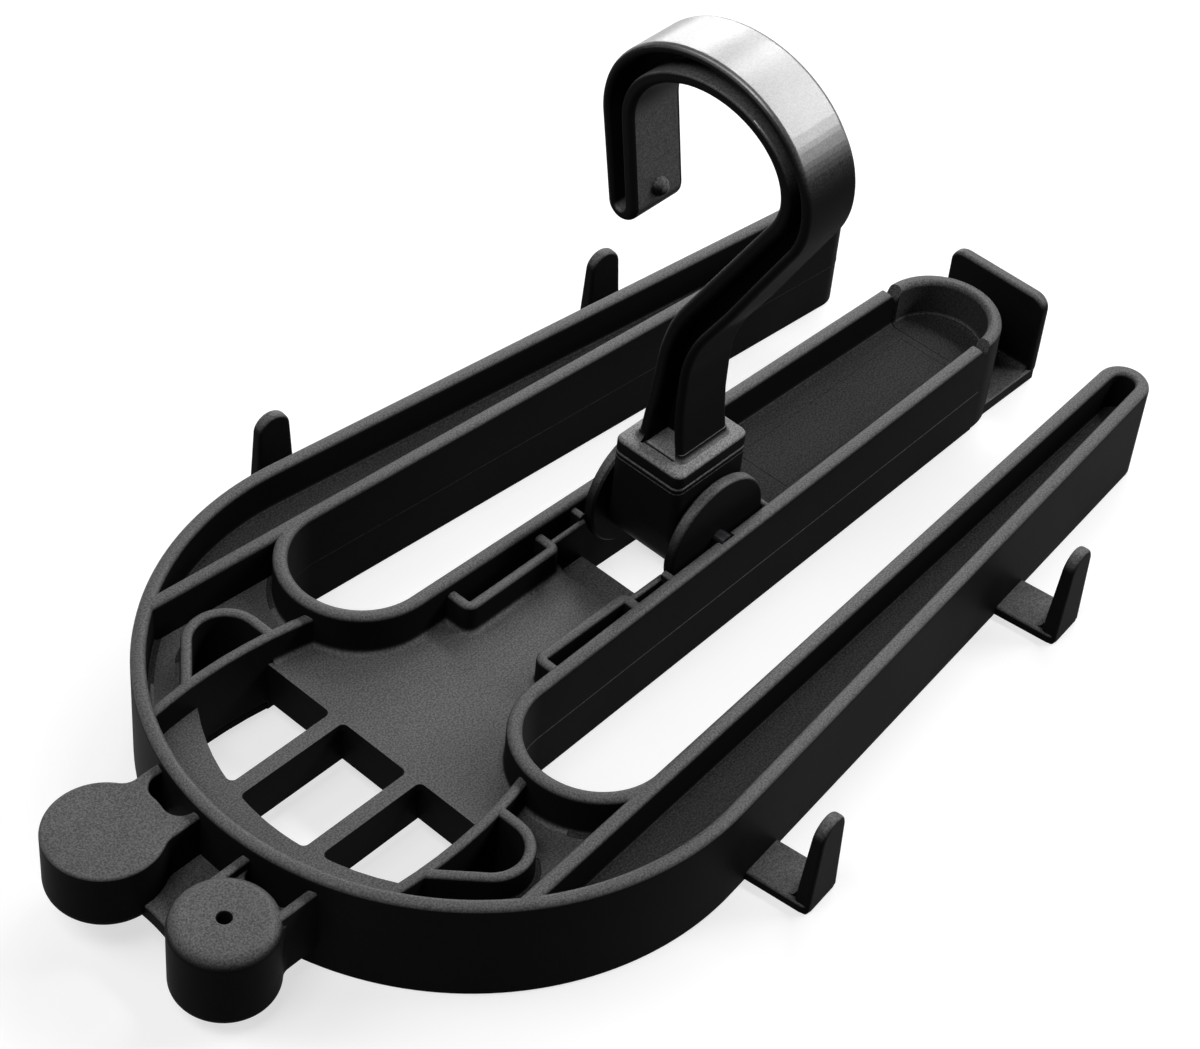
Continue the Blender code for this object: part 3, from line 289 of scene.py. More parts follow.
def loft(name, rings):
    """A closed body through rings of equally many points."""
    shape = bmesh.new()
    rows = [[shape.verts.new(point) for point in ring] for ring in rings]
    count = len(rows[0])
    for low, high in zip(rows, rows[1:]):
        for i in range(count):
            j = (i + 1) % count
            shape.faces.new((low[i], low[j], high[j], high[i]))
    shape.faces.new(rows[0])
    shape.faces.new(rows[-1])
    bmesh.ops.recalc_face_normals(shape, faces=shape.faces)
    mesh = bpy.data.meshes.new(name)
    shape.to_mesh(mesh)
    shape.free()
    return new_object(name, mesh)


def on_circle(centre, radius, angle):
    return Vector((centre[0] + radius * cos(angle), centre[1] + radius * sin(angle)))


def arc(centre, radius, start, end, step=FINE_STEP):
    count = max(2, ceil(abs(end - start) / step - 1e-6))
    return [on_circle(centre, radius, start + (end - start) * i / count) for i in range(count + 1)]


def side_path(points, side):
    return points if side > 0 else [Vector((p[0], -p[1])) for p in points]


def miter_normals(path):
    """Left-hand unit normals of an open path, lengthened at the corners."""
    normals = []
    for i, point in enumerate(path):
        before = (point - path[i - 1]).normalized() if i > 0 else None
        after = (path[i + 1] - point).normalized() if i + 1 < len(path) else None
        before = before or after
        after = after or before
        first = before.orthogonal()
        both = (first + after.orthogonal()).normalized()
        normals.append(both / max(MITER_LIMIT, both.dot(first)))
    return normals


def sweep(name, path, profile):
    """A profile of (outwards, height) pairs swept along a plan path."""
    path = [Vector(p) for p in path]
    rings = []
    for p, normal in zip(path, miter_normals(path)):
        rings.append([(p.x + normal.x * out, p.y + normal.y * out, height) for out, height in profile])
    return loft(name, rings)


def rounded_box_profile(half, bottom, top, top_round, bottom_round):
    """Cross-section of a wall with rounded edges, anticlockwise from the lower right."""
    upper, lower = (half - top_round, top - top_round), (half - bottom_round, bottom + bottom_round)
    corners = ((lower, bottom_round), (upper, top_round), ((-upper[0], upper[1]), top_round),
               ((-lower[0], lower[1]), bottom_round))
    profile = []
    for quarter, (centre, radius) in enumerate(corners):
        start = (quarter - 1) * pi / 2
        profile += arc(centre, radius, start, start + pi / 2, pi / 2 / EDGE_STEPS)
    return profile


def wall(name, path, width, bottom, top, top_round=WALL_ROUND, bottom_round=WALL_FOOT_ROUND):
    return sweep(name, path, rounded_box_profile(width / 2, bottom, top, top_round, bottom_round))


def fillet(path, offset, side):
    """Concave strip where a wall's side stands on the web."""
    inner, outer = offset - SINK, offset + WEB_FILLET
    level = WEB_TOP + WEB_FILLET
    curve = arc((outer, level), WEB_FILLET, -pi / 2, -pi, FILLET_STEP)
    profile = [(inner, WEB_TOP - SINK), (outer, WEB_TOP - SINK), *[(p.x, p.y - SINK / 20) for p in curve],
               (inner, level)]
    return sweep("fillet", path, [(side * out, height) for out, height in profile])


def prism(name, outline, bottom, top):
    return loft(name, [level_ring(outline, z) for z in (bottom, top)])


def turn_to(obj, plane):
    """Lays a body drawn in plan over into the XZ or YZ plane."""
    rows = {
        "XZ": ((1, 0, 0, 0), (0, 0, 1, 0), (0, 1, 0, 0), (0, 0, 0, 1)),
        "YZ": ((0, 0, 1, 0), (1, 0, 0, 0), (0, 1, 0, 0), (0, 0, 0, 1)),
    }
    if plane != "XY":
        matrix = Matrix(rows[plane])
        obj.data.transform(matrix)
        if matrix.determinant() < 0:
            obj.data.flip_normals()
    return obj


def side_prism(name, outline, start, end, plane):
    return turn_to(prism(name, outline, start, end), plane)


def inset(points, distance):
    """A closed outline moved inwards, or outwards for a negative distance."""
    points = [Vector(p) for p in points]
    area = sum(p.x * q.y - q.x * p.y for p, q in zip(points, points[1:] + points[:1]))
    sign = 1 if area > 0 else -1
    moved = []
    for i, point in enumerate(points):
        before = (point - points[i - 1]).normalized()
        after = (points[(i + 1) % len(points)] - point).normalized()
        first = before.orthogonal()
        both = (first + after.orthogonal()).normalized()
        moved.append(point + both * sign * distance / max(INSET_LIMIT, both.dot(first)))
    return moved


def quarter_turn(radius, steps=EDGE_STEPS):
    """Points round a quarter circle: how far each has risen, and how far it still has to run."""
    turns = [pi / 2 * i / steps for i in range(steps + 1)]
    return [(radius * (1 - cos(a)), radius * (1 - sin(a))) for a in turns]


def rounded_prism(name, outline, low, high, low_edge, high_edge, plane="XY"):
    """A prism with rounded rims."""
    levels = [(low + rise, rest) for rise, rest in quarter_turn(low_edge)]
    levels += [(high - rest, rise) for rise, rest in quarter_turn(high_edge)]
    return turn_to(loft(name, [level_ring(inset(outline, by), height) for height, by in levels]), plane)


def turned(name, profile, centre, axis="Z", step=FINE_STEP, turn=0.0):
    count = ceil(2 * pi / step)
    angles = [turn + 2 * pi * i / count for i in range(count)]
    rings = [[(r * cos(a), r * sin(a), h) for a in angles] for r, h in profile]
    obj = loft(name, rings)
    if axis == "Y":
        obj.data.transform(Matrix.Rotation(-pi / 2, 4, "X"))
    obj.data.transform(Matrix.Translation(centre))
    return obj


def rod(name, radius, bottom, top, centre, axis="Z", step=FINE_STEP):
    return turned(name, [(radius, bottom), (radius, top)], centre, axis, step, DRILL_TURN)


def box(name, low, high):
    outline = [(low[0], low[1]), (high[0], low[1]), (high[0], high[1]), (low[0], high[1])]
    return prism(name, outline, low[2], high[2])


def rounded_rectangle(centre, length, width, corner):
    points = []
    for quarter, (sx, sy) in enumerate(((1, 1), (-1, 1), (-1, -1), (1, -1))):
        middle = (centre[0] + sx * (length / 2 - corner), centre[1] + sy * (width / 2 - corner))
        start = quarter * pi / 2
        points += arc(middle, corner, start, start + pi / 2, COARSE_STEP)
    return points


def combine(target, tool, operation):
    modifier = target.modifiers.new(operation.lower(), "BOOLEAN")
    modifier.operation = operation
    modifier.solver = "EXACT"
    modifier.object = tool
    bpy.context.view_layer.update()
    evaluated = target.evaluated_get(bpy.context.evaluated_depsgraph_get())
    mesh = bpy.data.meshes.new_from_object(evaluated)
    target.modifiers.remove(modifier)
    target.data = mesh
    bpy.data.objects.remove(tool, do_unlink=True)


def add(target, tool):
    combine(target, tool, "UNION")


def cut(target, tool):
    combine(target, tool, "DIFFERENCE")


def rounded_corners(points, radius):
    """A plan path with the corners between its ends rounded."""
    points = [Vector(p) for p in points]
    path = [points[0]]
    for before, corner, after in zip(points, points[1:], points[2:]):
        into = (before - corner).normalized()
        out = (after - corner).normalized()
        half = acos(max(-1.0, min(1.0, into.dot(out)))) / 2
        reach = radius / tan(half)
        middle = corner + (into + out).normalized() * radius / sin(half)
        first = corner + into * reach - middle
        last = corner + out * reach - middle
        start = atan2(first.y, first.x)
        swing = (atan2(last.y, last.x) - start + pi) % (2 * pi) - pi
        path += arc(middle, radius, start, start + swing, FILLET_STEP)
    return path + [points[-1]]


def outer_arm_y(x):
    touch = (NOSE_RADIUS * sin(OUTER_ARM_TAPER), NOSE_RADIUS * cos(OUTER_ARM_TAPER))
    return touch[1] - (x - touch[0]) * tan(OUTER_ARM_TAPER)


def rail_y(x):
    return RAIL_AT_ORIGIN - x * tan(RAIL_TAPER)


def centre_wall_y(x):
    return CENTRE_WALL_AT_ORIGIN - x * tan(CENTRE_WALL_TAPER)


def arm_tip(side):
    x = LEFT_ARM_TIP_X if side > 0 else RIGHT_ARM_TIP_X
    outer = outer_arm_y(x)
    inner = rail_y(x)
    return (x, (outer + inner) / 2), (outer - inner) / 2 * cos((OUTER_ARM_TAPER + RAIL_TAPER) / 2)


def slot_end():
    outer = rail_y(SLOT_END_X)
    inner = centre_wall_y(SLOT_END_X)
    return (SLOT_END_X, (outer + inner) / 2), (outer - inner) / 2


def rim_path():
    touch = pi / 2 - OUTER_ARM_TAPER
    ends = []
    for side in (1, -1):
        centre, radius = arm_tip(side)
        x = centre[0] + radius * sin(OUTER_ARM_TAPER) + OVERRUN / 4
        ends.append(Vector((x, side * outer_arm_y(x))))
    return [ends[0]] + arc((0, 0), NOSE_RADIUS, touch, 2 * pi - touch, RIM_STEP) + [ends[1]]


def rail_path(side):
    centre, radius = arm_tip(side)
    tip = arc(centre, radius, pi / 2 - OUTER_ARM_TAPER, -pi / 2 - RAIL_TAPER, POST_STEP)
    slope = tan(RAIL_TAPER)
    a = 1 + slope * slope
    b = -2 * slope * RAIL_AT_ORIGIN
    c = RAIL_AT_ORIGIN ** 2 - NOSE_RADIUS ** 2
    meet = (-b - sqrt(b * b - 4 * a * c)) / (2 * a)
    return tip + [Vector((meet, rail_y(meet)))]


def slot_bend():
    centre, radius = slot_end()
    return arc(centre, radius, pi / 2, 3 * pi / 2, SLOT_STEP)


def slot_path():
    lead = [Vector((SLOT_END_X + OVERRUN, rail_y(SLOT_END_X + OVERRUN)))]
    return lead + slot_bend() + [Vector((CENTRE_ARM_END, centre_wall_y(CENTRE_ARM_END)))]


def arc_through(*points):
    """Arc through three plan points."""
    first, middle, last = (Vector(p) for p in points)
    ax, ay = middle - first
    bx, by = last - first
    cross = 2 * (ax * by - ay * bx)
    a2 = ax * ax + ay * ay
    b2 = bx * bx + by * by
    offset = Vector(((by * a2 - ay * b2) / cross, (ax * b2 - bx * a2) / cross))
    centre = first + offset
    start = atan2(first.y - centre.y, first.x - centre.x)
    end = atan2(last.y - centre.y, last.x - centre.x)
    return arc(centre, offset.length, start, end)


def base_rib_path():
    centre, radius = slot_end()
    return arc_through(on_circle((0, 0), NOSE_RADIUS, BASE_RIB_RIM_ANGLE), BASE_RIB_MID,
                       on_circle(centre, radius, BASE_RIB_SLOT_ANGLE))


def height_on_path(path, x):
    for first, second in zip(path, path[1:]):
        low_x, high_x = sorted((first.x, second.x))
        if low_x <= x <= high_x:
            share = (x - first.x) / (second.x - first.x)
            return first.y + share * (second.y - first.y)
    raise ValueError("the path does not reach that place")


def d_loop_path():
    base = base_rib_path()
    centre = Vector(D_LOOP_CENTRE)
    foot = Vector((D_LOOP_FOOT_X, height_on_path(base, D_LOOP_FOOT_X)))
    reach = foot - centre
    touch = atan2(reach.y, reach.x) - acos(D_LOOP_RADIUS / reach.length)
    straight_x = centre.x + D_LOOP_RADIUS
    down = Vector((straight_x, height_on_path(base, straight_x)))
    bend = arc(centre, D_LOOP_RADIUS, 0, touch % (2 * pi), LOOP_STEP)
    return [down] + bend + [foot]


def block_plan():
    return rounded_rectangle((PIVOT_X, 0), BLOCK_LENGTH, BLOCK_WIDTH, BLOCK_CORNER)


def disc_face_y():
    return centre_wall_y(PIVOT_X + DISC_RADIUS) - WALL / 2 - DISC_WALL_GAP


def guide_rib_x(direction):
    return PIVOT_X + direction * (DISC_RADIUS + RUNNING_GAP + GUIDE_RIB / 2)


def make_web():
    web = prism("frame_moulding", rim_path(), WEB_BOTTOM, WEB_TOP)
    far = RIGHT_ARM_TIP_X + NOSE_RADIUS
    for side in (1, -1):
        opening = slot_bend() + [(CENTRE_ARM_END, centre_wall_y(CENTRE_ARM_END)), (CENTRE_ARM_END, 0),
                                 (far, 0), (far, rail_y(far))]
        cut(web, prism("slot", side_path(opening, side), -OVERRUN, FRAME_HEIGHT))
        centre, radius = arm_tip(side)
        tip = arc(centre, radius, pi / 2 - OUTER_ARM_TAPER, -pi / 2 - RAIL_TAPER)
        add(web, prism("tip", side_path(tip, side), WEB_BOTTOM, WEB_TOP))
    return web


def window_outline(inner_y, outer_y):
    """Window between two levels, with a round nose and rounded corners."""
    outline = [Vector((WINDOW_EDGE_X, inner_y))]
    for i in range(WINDOW_STEPS + 1):
        y = inner_y + (outer_y - inner_y) * i / WINDOW_STEPS
        outline.append(Vector((-sqrt(WINDOW_NOSE_RADIUS ** 2 - y * y), y)))
    outline.append(Vector((WINDOW_EDGE_X, outer_y)))
    rounded = []
    for before, corner, after in zip(outline[-1:] + outline, outline, outline[1:] + outline[:1]):
        sharp = (corner - before).angle(after - corner) > radians(30)
        rounded += rounded_corners([before, corner, after], WINDOW_CORNER)[1:-1] if sharp else [corner]
    return rounded


def add_windows(body):
    half_bar = WINDOW_BAR / 2
    edge_y = height_on_path(base_rib_path(), WINDOW_EDGE_X)
    edge_x = WINDOW_EDGE_X + SKIRT / 2
    skirt_top = WEB_TOP - SEAT_GAP
    add(body, wall("skirt", [(edge_x, -edge_y), (edge_x, edge_y)], SKIRT, SKIRT_BOTTOM, skirt_top,
                   SEAT_GAP))
    reach = asin(BASE_RIB_MID[1] / WINDOW_NOSE_RADIUS)
    skirt_radius = WINDOW_NOSE_RADIUS + SKIRT / 2
    nose_wall = arc((0, 0), skirt_radius, pi - reach, pi + reach)
    add(body, wall("skirt", nose_wall, SKIRT, SKIRT_BOTTOM, skirt_top, SEAT_GAP))
    openings = [(-WINDOW_BAR_Y + half_bar, WINDOW_BAR_Y - half_bar)]
    for side in (1, -1):
        bar_end = -sqrt(skirt_radius ** 2 - WINDOW_BAR_Y ** 2)
        bar = [(bar_end, side * WINDOW_BAR_Y), (edge_x, side * WINDOW_BAR_Y)]
        add(body, wall("bar", bar, WINDOW_BAR, SKIRT_BOTTOM, WEB_TOP - WEB_THICKNESS / 2, SEAT_GAP))
        openings.append((side * (WINDOW_BAR_Y + half_bar), side * (BASE_RIB_MID[1] + RIB)))
    for inner_y, outer_y in openings:
        cut(body, prism("window", window_outline(inner_y, outer_y), 0, WEB_TOP + OVERRUN))


def add_nose_ribs(body, side):
    base = base_rib_path()
    loop = d_loop_path()
    cup = [p + n * RIB / 4 for p, n in zip(loop, miter_normals(loop))]
    foot = [p for p in base if cup[-1].x + OVERRUN < p.x < cup[0].x - OVERRUN]
    cut(body, prism("d_cup", side_path(cup + foot, side), SKIRT, WEB_TOP + OVERRUN))
    floor_bottom = D_CUP_FLOOR - SKIRT
    add(body, prism("d_floor", side_path(loop + foot, side), floor_bottom + SEAT_GAP, D_CUP_FLOOR))
    add(body, wall("base_rib", side_path(base, side), RIB, SKIRT_BOTTOM, RIB_TOP, RIB_ROUND))
    add(body, wall("d_loop", side_path(loop, side), RIB, floor_bottom, RIB_TOP, RIB_ROUND))


def add_hinge_bay(body):
    step_bottom = WEB_TOP - STEP_DROP
    floor_low = step_bottom - WEB_THICKNESS
    outline = [(STEP_X - WEB_THICKNESS, WEB_TOP), (STEP_X, WEB_TOP), (STEP_X + STEP_SLOPE, step_bottom),
               (HUB_WELL_START_X, step_bottom), (HUB_WELL_START_X, floor_low),
               (STEP_X - WEB_THICKNESS, floor_low)]
    cut(body, box("well", (STEP_X, -RIDGE_Y, floor_low - OVERRUN),
                  (HUB_WELL_END_X, RIDGE_Y, WEB_TOP + OVERRUN)))
    reach = centre_wall_y(PIVOT_X)
    disc_room = DISC_RADIUS + GUIDE_RIB
    cut(body, box("disc_well", (PIVOT_X - disc_room, -reach, floor_low - OVERRUN),
                  (PIVOT_X + disc_room, reach, WEB_TOP + OVERRUN)))
    add(body, side_prism("step", outline, -RIDGE_Y, RIDGE_Y, "XZ"))


def pocket_path():
    return rounded_corners([
        (POCKET_START_X, centre_wall_y(POCKET_START_X)), (POCKET_START_X, POCKET_WALL_Y),
        (POCKET_END_X, POCKET_WALL_Y), (POCKET_END_X, centre_wall_y(POCKET_END_X)),
    ], POCKET_CORNER)


def add_pocket(body, side):
    pocket = side_path(pocket_path(), side)
    add(body, wall("pocket", pocket, RIB, WEB_BOTTOM - SINK, RIB_TOP, RIB_ROUND))
    ridge = [(POCKET_END_X, RIDGE_Y), (guide_rib_x(-1), RIDGE_Y)]
    add(body, wall("ridge", side_path(ridge, side), RIDGE, WEB_BOTTOM - STEP_DROP, RIB_TOP,
                   RIDGE / 2 - SINK / 4))


def add_centre_wall_details(body, side):
    for direction in (-1, 1):
        rib_x = guide_rib_x(direction)
        face = centre_wall_y(rib_x)
        rib = [(rib_x, face), (rib_x, face - WALL / 2 - GUIDE_RIB_REACH)]
        add(body, wall("guide_rib", side_path(rib, side), GUIDE_RIB, SKIRT_BOTTOM, GUIDE_RIB_TOP,
                       GUIDE_RIB / 2 - SINK / 4))
    groove = PIVOT_PIN_RADIUS + PIN_GAP
    outline = arc((PIVOT_X, PIVOT_Z), groove, pi, 2 * pi, COARSE_STEP)
    top = FRAME_HEIGHT + OVERRUN
    outline += [(PIVOT_X + groove, top), (PIVOT_X - groove, top)]
    pin_end = centre_wall_y(PIVOT_X) - WALL / 2 + PIVOT_PIN_DEPTH
    ends = sorted((side * disc_face_y(), side * (pin_end + PIN_GAP)))
    cut(body, side_prism("pin_seat", outline, ends[0], ends[1], "XZ"))


def tip_notch():
    seam = CENTRE_ARM_END + SEAT_GAP / 2
    top = FRAME_HEIGHT + OVERRUN
    half = TIP_NOTCH_WIDTH / 2 * (1 + OVERRUN / TIP_NOTCH_DEPTH)
    outline = [(seam - half, top), (seam, FRAME_HEIGHT - TIP_NOTCH_DEPTH), (seam + half, top)]
    reach = 2 * TIP_OUTER_RADIUS
    return side_prism("notch", outline, -reach, reach, "XZ")


def parting_bead(path, side):
    """Fine raised line where the two halves of the mould met."""
    out = WALL / 2
    profile = [(out - SINK, PARTING_Z - BEAD_HEIGHT), (out - BEAD_SINK, PARTING_Z - BEAD_HEIGHT),
               (out + BEAD_OUT, PARTING_Z - BEAD_OUT), (out + BEAD_OUT, PARTING_Z + BEAD_OUT),
               (out - BEAD_SINK, PARTING_Z + BEAD_HEIGHT), (out - SINK, PARTING_Z + BEAD_HEIGHT)]
    return sweep("bead", path, [(side * o, h) for o, h in profile])


def between(path, low_x, high_x):
    """The part of a path between two places along X."""
    kept = []
    for first, second in zip(path, path[1:]):
        run = second.x - first.x
        shares = [0.0, 1.0]
        if abs(run) > SINK / 100:
            marks = sorted(((low_x - first.x) / run, (high_x - first.x) / run))
            shares = [min(1.0, max(0.0, marks[0])), max(0.0, min(1.0, marks[1]))]
        elif not low_x <= first.x <= high_x:
            shares = [0.0, 0.0]
        if shares[1] - shares[0] > 1e-4:
            kept += [first.lerp(second, share) for share in shares[len(kept) > 0:]]
    return kept


def witness_lines():
    """Four fine raised lines on the tray's floor, where an insert of the mould ended."""
    near, far, out, line = WITNESS_FROM_X, WITNESS_TO_X, WITNESS_Y, WITNESS_LINE
    edges = ((near, -out, far, -out), (near, out, far, out), (near, -out, near, out), (far, -out, far, out))
    return [box("witness", (x0 - line, y0 - line, WEB_TOP - SINK), (x1 + line, y1 + line, WEB_TOP + line))
            for x0, y0, x1, y1 in edges]


def frame_trim():
    """Fillets where walls stand on the web, witness lines, and the mould's parting line."""
    far = RIGHT_ARM_TIP_X
    trim = [fillet(rim_path(), WALL / 2, 1), *witness_lines()]
    loop_back_x = D_LOOP_CENTRE[0] + D_LOOP_RADIUS + RIB
    for side in (1, -1):
        rail, slot, base, loop, pocket = (side_path(path, side) for path in (
            rail_path(side), slot_path(), base_rib_path(), d_loop_path(), pocket_path()))
        meet_x = rail[-1].x
        trim.append(fillet(between(rail, meet_x + WALL, far), WALL / 2, -side))
        trim += [parting_bead(path, side) for path in (between(rail, meet_x + RAIL_SEAM_START, far), slot)]
        for path, low_x, high_x, width, facing in (
                (slot, -far, STEP_X - OVERRUN, WALL, -side), (slot, HUB_WELL_END_X, far, WALL, -side),
                (base, WINDOW_EDGE_X + OVERRUN, far, RIB, -side), (base, loop_back_x, far, RIB, side),
                (base, -far, D_LOOP_FOOT_X - RIB, RIB, side), (loop, -far, far, RIB, -side),
                (pocket, 0, POCKET_END_X, RIB, -side)):
            trim.append(fillet(between(path, low_x, high_x), width / 2, facing))
    return trim


def join(body, extras):
    """Adds closed bodies to a piece as they are."""
    shape = bmesh.new()
    shape.from_mesh(body.data)
    for extra in extras:
        shape.from_mesh(extra.data)
        bpy.data.objects.remove(extra, do_unlink=True)
    shape.to_mesh(body.data)
    shape.free()
    return body


def make_frame():
    body = make_web()
    add(body, wall("rim", rim_path(), WALL, 0, FRAME_HEIGHT))
    for side in (1, -1):
        add(body, wall("rail", side_path(rail_path(side), side), WALL, 0, FRAME_HEIGHT))
    add_windows(body)
    for side in (1, -1):
        add_nose_ribs(body, side)
    add_hinge_bay(body)
    for side in (1, -1):
        add_pocket(body, side)
        add(body, wall("slot_wall", side_path(slot_path(), side), WALL, 0, FRAME_HEIGHT))
        add_centre_wall_details(body, side)
    cut(body, tip_notch())
    return join(body, frame_trim())


def make_tip_hook():
    start_x = CENTRE_ARM_END + SEAT_GAP
    radius = TIP_OUTER_RADIUS - WALL / 2
    bend = arc((TIP_CENTRE_X, 0), radius, -pi / 2, pi / 2)
    path = [(start_x, -radius), *bend, (start_x, radius)]
    tip = wall("tip_hook_moulding", path, WALL, 0, FRAME_HEIGHT)
    add(tip, prism("floor", path, WEB_BOTTOM, WEB_TOP))
    add(tip, fillet(path, WALL / 2, 1))
    back = TIP_PLATE_X + TIP_PLATE_THICKNESS
    half = TIP_PLATE_HALF_WIDTH
    end = back - OVERRUN
    foot = [(TIP_CENTRE_X, -half), (end, -half), (end, half), (TIP_CENTRE_X, half)]
    add(tip, rounded_prism("foot", foot, 0, TIP_FOOT_THICKNESS, BLOCK_EDGE, BLOCK_EDGE))
    face = rounded_rectangle((0, TIP_PLATE_TOP / 2), 2 * half, TIP_PLATE_TOP, TIP_PLATE_CORNER)
    add(tip, rounded_prism("plate", face, TIP_PLATE_X, back, TIP_PLATE_EDGE, TIP_PLATE_EDGE, "YZ"))
    corner = hollow_corner(TIP_PLATE_X, TIP_FOOT_THICKNESS, PEG_FILLET)
    add(tip, side_prism("corner", corner, PEG_EDGE - half, half - PEG_EDGE, "XZ"))
    cut(tip, tip_notch())
    return tip


def hollow_corner(face, floor, radius):
    """Outline of a concave corner between an upright face and the floor before it."""
    back, low = face + SINK, floor - SINK
    curve = arc((face - radius, floor + radius), radius, 0, -pi / 2, COARSE_STEP)
    return [(back, low), (back, floor + radius), *curve, (face - radius, low)]


def make_peg(name, x, side):
    """Foot plate square to the outer arm with an upright, tapered post at its end."""
    lean = OUTER_ARM_TAPER
    along = Vector((cos(lean), -sin(lean)))
    outward = Vector((sin(lean), cos(lean)))
    root = Vector((x, outer_arm_y(x))) + outward * WALL / 2
    half = PEG_WIDTH / 2
    corner = PEG_POST_THICKNESS / 2
    foot = [(-half, -PEG_EDGE), (half, -PEG_EDGE)]
    foot += arc((half - corner, PEG_REACH - corner), corner, 0, pi / 2, COARSE_STEP)
    foot += arc((corner - half, PEG_REACH - corner), corner, pi / 2, pi, COARSE_STEP)
    peg = rounded_prism(name + "_moulding", foot, 0, PEG_FOOT_THICKNESS, LOW_EDGE, FOOT_EDGE)
    low = PEG_POST_FOOT_WIDTH / 2
    high = PEG_POST_TOP_WIDTH / 2
    crown = arc((0, PEG_POST_TOP - high), high, 0, pi, POST_STEP)
    face = [(-low, 0), (low, 0), *crown]
    inner = PEG_REACH - PEG_POST_THICKNESS
    post = rounded_prism("post", face, inner, PEG_REACH, PEG_EDGE, PEG_EDGE, "XZ")
    slimming = (PEG_POST_THICKNESS - PEG_POST_TOP_THICKNESS) / PEG_POST_TOP
    for point in post.data.vertices:
        if point.co.y < PEG_REACH - PEG_POST_THICKNESS / 2:
            point.co.y += slimming * point.co.z
    add(peg, post)
    strip = hollow_corner(inner, PEG_FOOT_THICKNESS, PEG_FILLET)
    add(peg, side_prism("strip", strip, PEG_EDGE - low, low - PEG_EDGE, "YZ"))
    peg.data.transform(Matrix(((along.x, outward.x, 0, root.x), (along.y, outward.y, 0, root.y),
                               (0, 0, 1, 0), (0, 0, 0, 1))))
    if side < 0:
        peg.data.transform(Matrix.Scale(-1, 4, (0, 1, 0)))
        peg.data.flip_normals()
    return peg


def eared_outline(radius, ears_y, centre, end_x, blend):
    """Round outline with ribs running towards +X; end_x counts from the circle's centre."""
    half = EAR_WIDTH / 2
    ears = [(y - centre[1] - half, y - centre[1] + half) for y in ears_y]
    outline = []
    last = None
    for low, high in sorted(ears):
        for level, step in ((low, -1), (high, 1)):
            middle = Vector((0, level + step * blend))
            middle.x = sqrt((radius + blend) ** 2 - middle.y ** 2)
            meeting = atan2(middle.y, middle.x)
            start = atan2(-middle.y, -middle.x)
            swing = (-step * pi / 2 - start + pi) % (2 * pi) - pi
            bend = arc(middle, blend, start, start + swing, EAR_STEP)
            if step < 0:
                if last is None:
                    first = meeting
                else:
                    outline += arc((0, 0), radius, last, meeting)[1:-1]
                outline += bend + [Vector((end_x, level))]
            else:
                outline += [Vector((end_x, level))] + bend[::-1]
            last = meeting
    outline += arc((0, 0), radius, last, first + 2 * pi)[1:-1]
    return [(p.x + centre[0], p.y + centre[1]) for p in outline]


def knob_underside(radius, bottom):
    middle = (radius - KNOB_BOTTOM_ROUND, bottom + KNOB_BOTTOM_ROUND)
    return arc(middle, KNOB_BOTTOM_ROUND, -pi / 2, 0, ROUND_STEP)


def rim_clearance():
    radius = NOSE_RADIUS + WALL / 2 - 3 * SEAT_GAP
    return rod("rim", radius, -OVERRUN, FRAME_HEIGHT, (0, 0, 0), step=RIM_STEP)


def make_left_knob():
    """Flat knob with its ears and the plate that bridges the space between the knobs."""
    centre = LEFT_KNOB_CENTRE
    end_x = -NOSE_RADIUS + 2 * WALL - centre[0]
    ear_bottom = LEFT_KNOB_BOTTOM + KNOB_BOTTOM_ROUND
    outline = eared_outline(LEFT_KNOB_RADIUS, LEFT_EARS_Y, centre, end_x, LEFT_EAR_BLEND)
    knob = rounded_prism("left_knob_moulding", outline, ear_bottom, KNOB_TOP, SINK / 4, LEFT_KNOB_EDGE)
    radius = LEFT_KNOB_RADIUS - SINK / 20
    profile = knob_underside(radius, LEFT_KNOB_BOTTOM) + [(radius, ear_bottom + OVERRUN)]
    add(knob, turned("underside", profile, (*centre, 0), turn=DRILL_TURN))
    low_y, high_y = RIGHT_EARS_Y[0], LEFT_EARS_Y[0]
    edge = arc_through((BRIDGE_LOW_X, low_y), (BRIDGE_HIGH_X, BRIDGE_MID_Y), (BRIDGE_HIGH_X, high_y))
    plate = [(-NOSE_RADIUS, high_y), *edge[::-1], (-NOSE_RADIUS, low_y)]
    bridge = rounded_prism("bridge", plate, BRIDGE_TOP - BRIDGE_THICKNESS, BRIDGE_TOP, BLOCK_EDGE,
                           BLOCK_EDGE)
    cut(bridge, rod("neighbour", RIGHT_KNOB_RADIUS - SEAT_GAP, 0, FRAME_HEIGHT, (*RIGHT_KNOB_CENTRE, 0)))
    add(knob, bridge)
    cut(knob, rim_clearance())
    return knob


